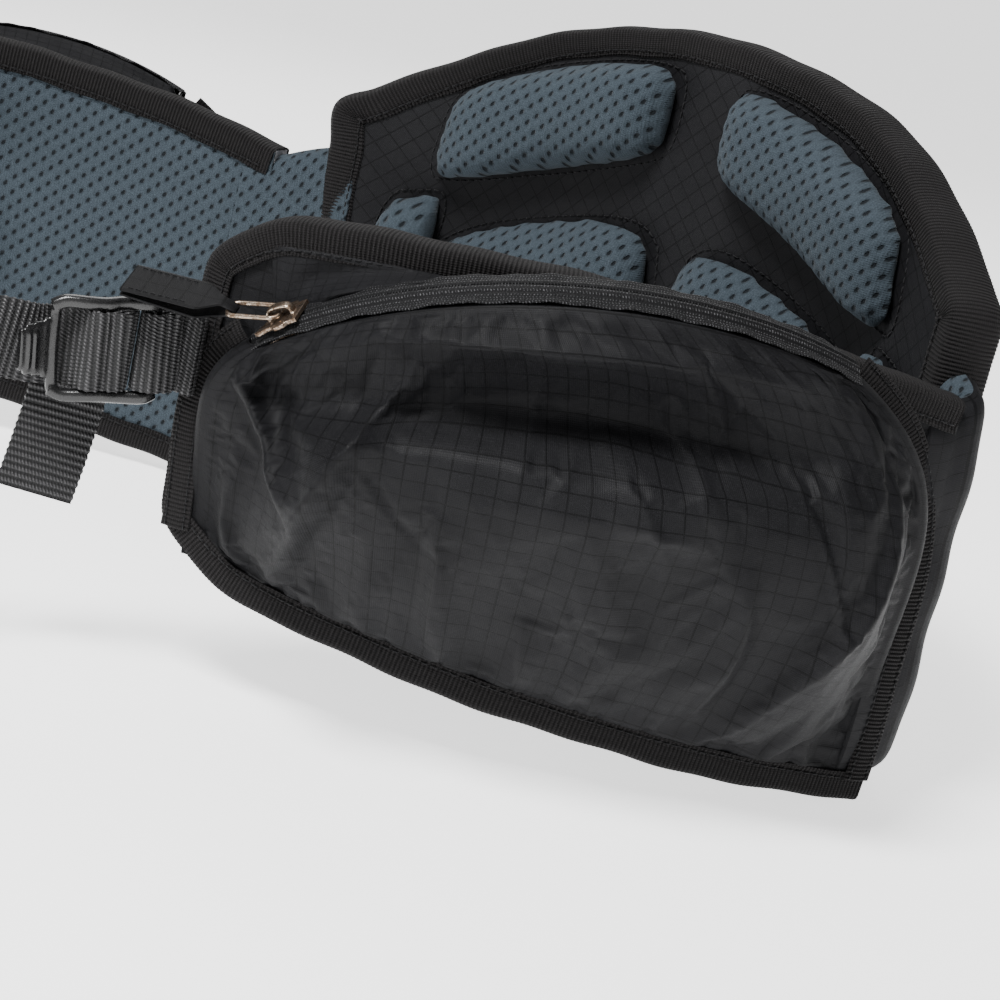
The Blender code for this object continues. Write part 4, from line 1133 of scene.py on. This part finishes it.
def with_ends(panel, columns, rows, steps=7):
    """The panel's grid in the wing's frame, with both ends curved down to the wing."""
    u, v = np.meshgrid(np.linspace(0, 1, columns), np.linspace(0, 1, rows))
    body = np.stack(panel(u, v), -1)
    walls = []
    for front in (False, True):
        edge = body[:, -1 if front else 0]
        foot = np.stack([*end_seam(panel, v[:, 0], front), np.full(rows, 8.3 * MM)], -1)
        turn = (np.arange(steps) / steps * math.pi / 2)[None, :, None]
        wall = foot[:, None] + (edge - foot)[:, None] * np.concatenate(
            [1 - np.cos(turn), 1 - np.cos(turn), np.sin(turn)], -1
        )
        walls.append(wall[:, ::-1] if front else wall)
    every = np.concatenate([walls[0], body, walls[1]], axis=1)
    return wing_point(every[..., 0], every[..., 1], every[..., 2])


def pocket_cloth(points):
    """The pocket's fabric after a short cloth simulation, with its seams held; the same for both wings."""
    rows, columns = points.shape[:2]
    held = np.zeros((rows, columns), bool)
    held[:6] = held[-2:] = held[:, :9] = held[:, -9:] = True
    piece = add_object("pocket_cloth", points, grid_faces(rows, columns), "ripstop")
    inflated(piece, 0.4, 3.0 * MM, held.ravel(), -0.035)
    result = vertex_array(piece.data, "co").reshape(rows, columns, 3)
    bpy.data.objects.remove(piece, do_unlink=True)
    return result


def finer(points, times=2):
    """The grid with more rows and columns on a smooth surface through it."""
    for _ in range(2):
        count = points.shape[1]
        smooth = [smooth_line(row, (count - 1) * times + 1) for row in points]
        points = np.swapaxes(np.array(smooth), 0, 1)
    return points


def seam_tape(name, stations, heights, wing, body, node):
    """A flat ribbed tape laid over a line on the wing, with a row of stitches near each edge."""
    flat = np.stack([stations * ARC, heights, np.zeros_like(heights)], -1)
    line, along = resampled(smooth_line(flat, 300), RIB_TAPE / 4)
    tangent = unit(np.gradient(line, axis=0))
    inward = np.stack([-tangent[:, 1], tangent[:, 0]], -1)
    reach = np.linspace(-5, 5, 15) * MM
    rib = 0.14 * MM * np.sin(TURN * along / RIB_TAPE)[None] * (abs(reach) < 4.5 * MM)[:, None]
    dent = 0.35 * MM * sum(np.exp(-(((reach - spot) / (0.7 * MM)) ** 2)) for spot in (-3.2 * MM, 3.2 * MM))
    crown = 1.2 * MM * (1 - (reach / (5.6 * MM)) ** 4)
    wander = 0.35 * MM * np.sin(along / (9 * MM))
    place = line[None, :, :2] + inward[None] * (reach[:, None] + wander[None])[..., None]
    offset = 8.5 * MM + (crown - dent)[:, None] + rib
    points = wing(wing_point(place[..., 0] / ARC, place[..., 1], offset))
    cloth = np.stack(np.broadcast_arrays(along[None], reach[:, None]), -1)
    outward = wing.way((0, 1, 0))
    piece = finish(skin(name, points, outward, "grosgrain", 0.6 * MM, cloth), body, "grosgrain", node)
    for word, spot in (("near", -3.2 * MM), ("far", 3.2 * MM)):
        row = line[:, :2] + inward * spot
        seam = wing(wing_point(row[:, 0] / ARC, row[:, 1], 9.45 * MM))
        stitches(f"{name}_{word}_stitches", seam, outward, body, 2.8 * MM)
    return piece


def laid_out(points, size):
    """Flat coordinates for a grid of points that is cut from a rectangle of this size."""
    rows, columns = points.shape[:2]
    return np.stack(np.meshgrid(np.linspace(0, size[0], columns), np.linspace(0, size[1], rows)), -1)


def build_pocket(word, wing, panel, top):
    body = f"{word}_wing"
    outward = wing.way((0, 1, 0))
    fine = finer(panel)
    flat = laid_out(fine, POCKET_CLOTH)
    outer = skin(f"{word}_pocket_fabric", wing(fine), outward, "ripstop", 0.4 * MM, flat)
    finish(outer, body, "ripstop", f"{word}_pocket_panel")
    flat = laid_out(top, TOP_CLOTH)
    upward = wing.way((0, 0.5, 1))
    upper = skin(f"{word}_pocket_top_fabric", wing(top), upward, "panel", 0.4 * MM, flat)
    finish(upper, body, "ripstop", f"{word}_pocket_gusset")
    v = np.linspace(0.05, 1, 30)
    for end, front in (("rear", False), ("front", True)):
        stations, heights = end_seam(pocket_panel, v, front)
        stations = stations + (0.014 if front else -0.014)
        seam_tape(f"{word}_{end}_seam_tape", stations, heights, wing, body, f"{word}_pocket_{end}_binding")


# ---------------------------------------------------------------- zip


def zip_strip(name, sign, wing, body):
    """One knitted tape, flat at its sewn edge and rolled over the coil at the zip's centre line."""
    across = np.concatenate([np.linspace(ZIP_HALF, 3.2 * MM, 9), np.linspace(2.7 * MM, 0.25 * MM, 8)])
    lift = 0.35 * MM + 1.55 * MM * ease((4.2 * MM - across) / (2.4 * MM))
    lift -= 0.9 * MM * ease((0.9 * MM - across) / (0.7 * MM))
    start, end = -5 * MM / ZIP.radius, ZIP.sweep + 5 * MM / ZIP.radius
    angle = np.linspace(start, end, 420)
    wave = 0.30 * MM * np.sin(angle * 31) + 0.2 * MM * np.sin(angle * 77 + 1)
    strength = ease((across - 3 * MM) / (5 * MM))[:, None]
    points = ZIP.point(angle[None], sign * across[:, None], lift[:, None] + wave[None] * strength)
    cloth = np.stack(np.broadcast_arrays(angle[None] * ZIP.radius, across[:, None]), -1)
    piece = skin(name, wing(points), wing.way((0, 0.7, 0.7)), "zip_tape", 0.5 * MM, cloth)
    return finish(piece, body, "zip_tape", name.replace("_knit", ""))


def prism(outline, low, high):
    """(points, faces) of a flat plate; outline is the half with y above 0, mirrored to make the other."""
    half = [tuple(point) for point in outline]
    ring = half + [(x, -y) for x, y in half[::-1] if y]
    count = len(ring)
    points = np.array([(x, y, z) for z in (low, high) for x, y in ring]) * MM
    faces = [tuple(range(count)), tuple(range(count, 2 * count))[::-1]]
    faces += [(i, (i + 1) % count, (i + 1) % count + count, i + count) for i in range(count)]
    return points, faces


def bent_bar(points, side, half_width, half_height, power=3.0, segments=20, samples=60):
    path = smooth_line(np.array(points, float) * MM, samples)
    return sweep(path, side, half_width * MM, half_height * MM, segments, power)


def slider_shapes():
    """A slider's notched top plate, its bridge, the lower plate and the divider between them."""
    plate = ((-7.0, 5.4), (-4.0, 5.4), (-2.8, 6.9), (0.4, 7.2), (1.8, 5.8), (3.8, 5.6))
    plate += ((6.6, 7.0), (8.2, 6.2), (6.0, 2.0))
    lower = ((-6.0, 4.4), (2.0, 4.4), (6.0, 5.6), (6.4, 2.0))
    bridge = [(-4.2, 0, 3.2), (-4.3, 0, 5.0), (-3.0, 0, 6.3), (0, 0, 6.8)]
    bridge += [(2.8, 0, 6.5), (4.2, 0, 5.2), (4.3, 0, 3.2)]
    return [
        prism(plate, 2.2, 3.5),
        prism(lower, -2.7, -1.5),
        block((2.0, -0.5, -2.0), (5.0, 0.5, 2.8)),
        bent_bar(bridge, (0, 1, 0), 1.6, 0.62),
    ]


def pull_shape():
    """The wire ring, long along x, with its near end on the bridge at the origin."""
    turn = TURN * (np.arange(72) + 0.5) / 72
    corner = 3.6 * MM
    cosine, sine = np.cos(turn), np.sin(turn)
    x = corner * np.sign(cosine) * abs(cosine) ** 0.6 + np.where(cosine > 0, PULL_LENGTH - corner, corner)
    y = corner * np.sign(sine) * abs(sine) ** 0.7
    return sweep(np.stack([x, y, np.zeros(72)], -1), (0, 0, 1), 0.75 * MM, 0.75 * MM, 12, closed=True)


def placed(name, shape, place, look, cloth=None):
    points, faces = shape
    piece = add_object(name, points, faces, look, cloth)
    piece.data.transform(place)
    return face_out(piece)


def build_tab(word, place):
    """A folded fabric tab gathered round the ring, with a row of stitches along each of its sides."""
    half = [(33, 0.9), (16.5, 1.5), (5, 1.9), (2, 2.1)]
    path = np.array([*half, (-2.2, 0), *((x, -y) for x, y in half[::-1])])
    flat = np.stack([path[:, 0], np.zeros(len(path)), path[:, 1]], -1) * MM
    line, along = resampled(smooth_line(flat, 400), 0.6 * MM)
    spread = ease((line[:, 0] - 1 * MM) / (9 * MM))
    width = (4.2 * MM + (TAB_WIDTH - 4.2 * MM) * spread) / 2
    segments = 20
    x, _ = cross_section(segments, 6)
    shape = sweep(line, (0, 1, 0), width, 0.5 * MM, segments, 6)
    cloth = np.stack([np.broadcast_to(along[:, None], (len(line), segments)), width[:, None] * x[None]], -1)
    piece = placed(f"{word}_tab_fabric", shape, place, "lining", cloth)
    finish(piece, f"{word}_zip_tab_body", "ripstop", f"{word}_zip_pull_tab")
    turn = np.array(place.to_3x3())
    for edge in (-1, 1):
        row = [(12, edge * 5.4, 2.15), (22, edge * 5.6, 1.85), (31.4, edge * 5.6, 1.5)]
        seam = np.array(place.translation) + np.array(row) * MM @ turn.T
        name = f"{word}_tab_stitches_{edge + 1}"
        stitches(name, seam, turn @ (0, 0, 1), f"{word}_zip_tab_body", 2.4 * MM, 0.7, 0.16 * MM)


def build_zip(word, wing):
    body = f"{word}_wing"
    for row, sign in (("upper", 1), ("lower", -1)):
        zip_strip(f"{word}_zip_tape_{row}_knit", sign, wing, body)
    place = wing.matrix @ ZIP.frame_at(SLIDER_START / ZIP.radius)
    slider = moulded(f"{word}_slider_body", slider_shapes(), place, "antique_metal", 0.2 * MM, 2)
    finish(slider, f"{word}_zip_slider_body", "antique_metal", f"{word}_zip_slider")
    lift = Matrix.Rotation(-math.radians(PULL_LIFT), 4, "Y")
    ring = place @ Matrix.Translation((0, 0, PULL_HEIGHT)) @ lift
    pull = placed(f"{word}_pull_ring", pull_shape(), ring, "antique_metal")
    finish(pull, f"{word}_zip_pull_body", "antique_metal", f"{word}_zip_pull")
    far = ring @ Matrix.Translation((PULL_LENGTH, 0, 0)) @ Matrix.Rotation(-math.radians(TAB_LIFT), 4, "Y")
    build_tab(word, far)


# ---------------------------------------------------------------- belt


def lock_matrix():
    tip = Vector(wing_point(1.0, BELT_HEIGHT, 11 * MM))
    turn = Matrix.Rotation(math.radians(LOCK_TURN), 4, "Z") @ Matrix.Rotation(math.radians(LOCK_DIP), 4, "Y")
    return Matrix.Translation(tip) @ turn @ Matrix.Translation((LOCK_REACH, 0, 0))


def strip(name, points, wing, up, end_up, body, node):
    """Ribbed webbing along a line, its width along up and turning to end_up near the end."""
    line, along = resampled(smooth_line(points, 900), RIB_WEBBING / 6)
    share = np.linspace(0, 1, len(line))
    first, last = np.array(up, float), np.array(end_up if end_up is not None else up, float)
    side = first + (last - first) * ease((share - 0.78) / 0.16)[:, None]
    segments = 36
    x, _ = cross_section(segments, 9)
    rib = 1 + 0.28 * np.sin(TURN * along / RIB_WEBBING)
    edge = WEBBING_WIDTH / 2 * (1 + 0.012 * np.sin(TURN * along / RIB_WEBBING))
    shape = sweep(line, side, edge, WEBBING_THICKNESS / 2 * rib, segments, 9)
    cloth = np.stack(np.broadcast_arrays(along[:, None], WEBBING_WIDTH / 2 * x), -1)
    return finish(placed(name, shape, wing.matrix, "webbing", cloth), body, "webbing", node)


def in_place(matrix, points):
    return np.array(points, float) * MM @ np.array(matrix.to_3x3()).T + np.array(matrix.translation)


def lock_shapes():
    """The ladder lock's wavy rails, its three bars and the thumb lever, in its own frame."""
    rails = []
    for sign in (-1, 1):
        wave = [(-0.6, 0.2, 13.4), (3, 0.9, 14.9), (10, 0.5, 15.0), (16, 1.3, 14.6)]
        wave += [(22, 1.3, 14.8), (28, 0.5, 14.9), (32, 0, 13.2)]
        rails.append(bent_bar([(x, y, sign * z) for x, y, z in wave], (0, 0, 1), 2.1, 2.2, 2.6))
    bars = [
        bent_bar([(0, 0, -14), (0, 0.2, 0), (0, 0, 14)], (1, 0, 0), 1.7, 1.7, 2.4),
        bent_bar([(15.2, 0, -14), (15.2, 0, 0), (15.2, 0, 14)], (1, 0, 0), 2.6, 1.2, 2.4),
        bent_bar([(31, -0.2, -13.4), (31.6, 0.2, 0), (31, -0.2, 13.4)], (1, 0, 0), 1.9, 1.8, 2.4),
    ]
    lever = []
    for x, y, half in ((33, 0.8, 9.5), (36, 2.0, 8.6), (39, 3.2, 8.0), (40.6, 3.9, 6.6)):
        path = [(x - 2.6, y - 1.0, 0), (x, y, 0), (x + 1.6, y + 0.7, 0)]
        lever.append(bent_bar(path, (0, 0, 1), half, 1.25, 5))
    ridges = []
    for x, y in ((37, 3.9), (39, 4.7)):
        path = [(x, y, -5.5), (x, y + 0.15, 0), (x, y, 5.5)]
        ridges.append(bent_bar(path, (1, 0, 0), 0.45, 0.45, 2, 10))
    return rails + bars + lever + ridges


def softened(node, body, voxel=0.45 * MM):
    """A moulded part with the node's own shape and softly rounded edges."""
    source = frame["nodes"][node]
    piece = bpy.data.objects.new(f"{node}_moulding", source.data.copy())
    bpy.context.scene.collection.objects.link(piece)
    piece = remeshed(piece, voxel, 0, 5)
    mesh = evaluated_mesh(piece)
    piece.modifiers.clear()
    piece.data = mesh
    mesh.materials.clear()
    mesh.materials.append(LOOKS["buckle_plastic"])
    mesh.shade_smooth()
    return finish(piece, body, "buckle_plastic", node)


TIP_LOOP = [(-5, -3.6, 0), (1, -4.2, 0), (5.2, 0, 0), (1, 4.2, 0), (-5, 3.6, 0)]
THREADING = [(37, -4.8, 0), (29, -4.8, 0), (23.6, -0.6, 0), (20.4, 3.7, 0), (17.8, 4.4, 0), (15.0, 3.3, 0)]
THREADING += [(12.3, 4.3, 0), (9.4, 3.5, 0), (7.2, -0.6, 0), (8.5, -5.6, 0)]
TAIL = [(15, -8.8, -1), (21.5, -9.6, -8), (25, -9.6, -21), (29, -9.0, -36), (33, -8.6, -50)]
LEFT_LOOP = [(-24, 0.4, 0), (-7, 3.4, 0), (1, 4.2, 0), (5.2, 0, 0)]
LEFT_LOOP += [(1, -4.2, 0), (-7, -3.4, 0), (-24, -2.2, 0)]
RIGHT_OVER = [(40, 7.2, 0), (28, 7.8, 0), (12, 7.6, 0), (6.4, -0.6, 0)]
RIGHT_OVER += [(0, -4.6, 0), (-16, -4, 0), (-44, -2.5, 0)]
RIGHT_TURN = [(262, -28, 104), (300, -22, 94), (326, -8, 88), (331, 6, 86), (322, 13, 86)]


def buckle_matrix(side):
    if side < 0:
        turn = Matrix.Rotation(math.radians(6), 4, "Z")
        return lock_matrix() @ Matrix.Translation((76 * MM, 2 * MM, 3 * MM)) @ turn
    nose = Vector((-0.98, 0.17, 0)).normalized()
    face = Vector((-nose.y, nose.x, 0))
    rotation = Matrix((nose, face, (0, 0, 1))).transposed().to_4x4()
    return Matrix.Translation((166 * MM, -2 * MM, 118 * MM)) @ rotation


def build_belt(side, word, wing):
    lock = lock_matrix()
    start = [wing_point(station, BELT_HEIGHT, 10.4 * MM) for station in (0.975, 0.996)]
    finish_at = [wing_point(0.998, BELT_HEIGHT, 12.7 * MM), wing_point(0.976, BELT_HEIGHT, 12.5 * MM)]
    tip = np.vstack([start, in_place(lock, TIP_LOOP), finish_at])
    strip(f"{word}_tip_loop", tip, wing, (0, 0, 1), None, f"{word}_wing", f"{word}_tip_webbing")
    body = f"{word}_ladder_lock_body"
    place = wing.matrix @ lock
    moulding = moulded(f"{word}_lock_moulding", lock_shapes(), place, "buckle_plastic", 0.42 * MM, 4)
    finish(moulding, body, "buckle_plastic", f"{word}_ladder_lock")
    near = in_place(buckle_matrix(side), LEFT_LOOP if side < 0 else RIGHT_OVER)
    turn = [] if side < 0 else [in_place(Matrix.Identity(4), RIGHT_TURN)]
    path = np.vstack([near, *turn, in_place(lock, THREADING + TAIL)])
    across = lock.to_3x3() @ Vector((0.95, 0, 0.3))
    strip(f"{word}_belt_strap", path, wing, (0, 0, 1), across, body, f"{word}_front_strap")


def build_wing(side, word, heading, panel, top):
    wing = wing_frame(side, heading)
    cover = (f"{word}_wing_outer_shell", COVER_SPACING)
    wing_face(word, "cover", COVER_LEVEL, 0.5 * MM, (0, 1, 0), "ripstop", wing, *cover)
    lining = f"{word}_wing_inner_mesh"
    wing_face(word, "lining", LINING_LEVEL, 0.7 * MM, (0, -1, 0), "air_mesh", wing, lining)

    def place(y, z, offset):
        return wing(wing_point(y / ARC, z, offset))

    outward = wing.way((0, 1, 0))
    names = (f"{word}_wing", f"{word}_wing_edge_binding")
    edge_tape(f"{word}_wing_tape", wing_outline(), place, *WING_TAPE_FACES, 1, outward, *names)
    hinge_cover(side, word, wing)
    build_pocket(word, wing, panel, top)
    build_zip(word, wing)
    build_belt(side, word, wing)


# ---------------------------------------------------------------- studio


def build_camera():
    azimuth, elevation, roll = math.radians(-52), math.radians(15), math.radians(13)
    target = SHIFT + np.array((-88, -43, 70)) * MM
    flat = math.cos(elevation)
    back = np.array((math.sin(azimuth) * flat, -math.cos(azimuth) * flat, math.sin(elevation)))
    level = np.array((math.cos(azimuth), math.sin(azimuth), 0))
    above = np.cross(back, level)
    right = level * math.cos(roll) + above * math.sin(roll)
    up = above * math.cos(roll) - level * math.sin(roll)
    data = bpy.data.cameras.new("camera")
    data.lens = 86.4
    data.sensor_width = 36
    data.clip_start = 0.01
    camera = bpy.data.objects.new("camera", data)
    matrix = Matrix(np.stack([right, up, back], -1).tolist()).to_4x4()
    matrix.translation = Vector(target + 0.8 * back)
    camera.matrix_world = matrix
    bpy.context.scene.collection.objects.link(camera)
    bpy.context.scene.camera = camera


def area_light(name, place, size, watts, target=(0, 0, 0.08)):
    data = bpy.data.lights.new(name, "AREA")
    data.size = size
    data.energy = watts
    lamp = bpy.data.objects.new(name, data)
    lamp.location = place
    lamp.rotation_euler = (Vector(target) - Vector(place)).to_track_quat("-Z", "Y").to_euler()
    bpy.context.scene.collection.objects.link(lamp)


def build_studio():
    bpy.ops.mesh.primitive_plane_add(size=120, location=(0, 0, -0.0005))
    floor = bpy.context.object
    floor.name = "studio_floor"
    floor.data.materials.append(LOOKS["paper"])
    world = bpy.data.worlds.new("studio")
    world.use_nodes = True
    world.node_tree.nodes["Background"].inputs["Color"].default_value = (1, 1, 1, 1)
    world.node_tree.nodes["Background"].inputs["Strength"].default_value = 0.22
    bpy.context.scene.world = world
    area_light("key", (-0.75, -0.15, 1.35), 0.45, 44)
    area_light("fill", (-1.3, -1.2, 0.7), 1.2, 3)
    area_light("back", (0.9, 0.9, 1.2), 1.2, 12)


# ---------------------------------------------------------------- the whole pack


def finish_model_nodes():
    """Gives the model's own nodes that stay their detailed materials."""
    for name, node in frame["nodes"].items():
        look = None
        if "foam" in name:
            look = "foam"
        elif "frame_sheet" in name:
            look = "frame_sheet"
        elif "zip_coil" in name:
            look = "zip_coil"
        if look:
            node.data.materials.clear()
            node.data.materials.append(LOOKS[look])


build_camera()
build_studio()
build_lumbar()
panel_points = pocket_cloth(with_ends(pocket_panel, 130, 76))
top_points = with_ends(top_panel, 180, 26)
for wing_side, wing_word, wing_heading in SIDES:
    build_wing(wing_side, wing_word, wing_heading, panel_points, top_points)
softened("buckle_female", "buckle_female_body")
softened("buckle_male", "buckle_male_body")
for row in ("upper", "lower"):
    softened(f"buckle_prong_{row}", f"buckle_prong_{row}_body", 0.3 * MM)
finish_model_nodes()
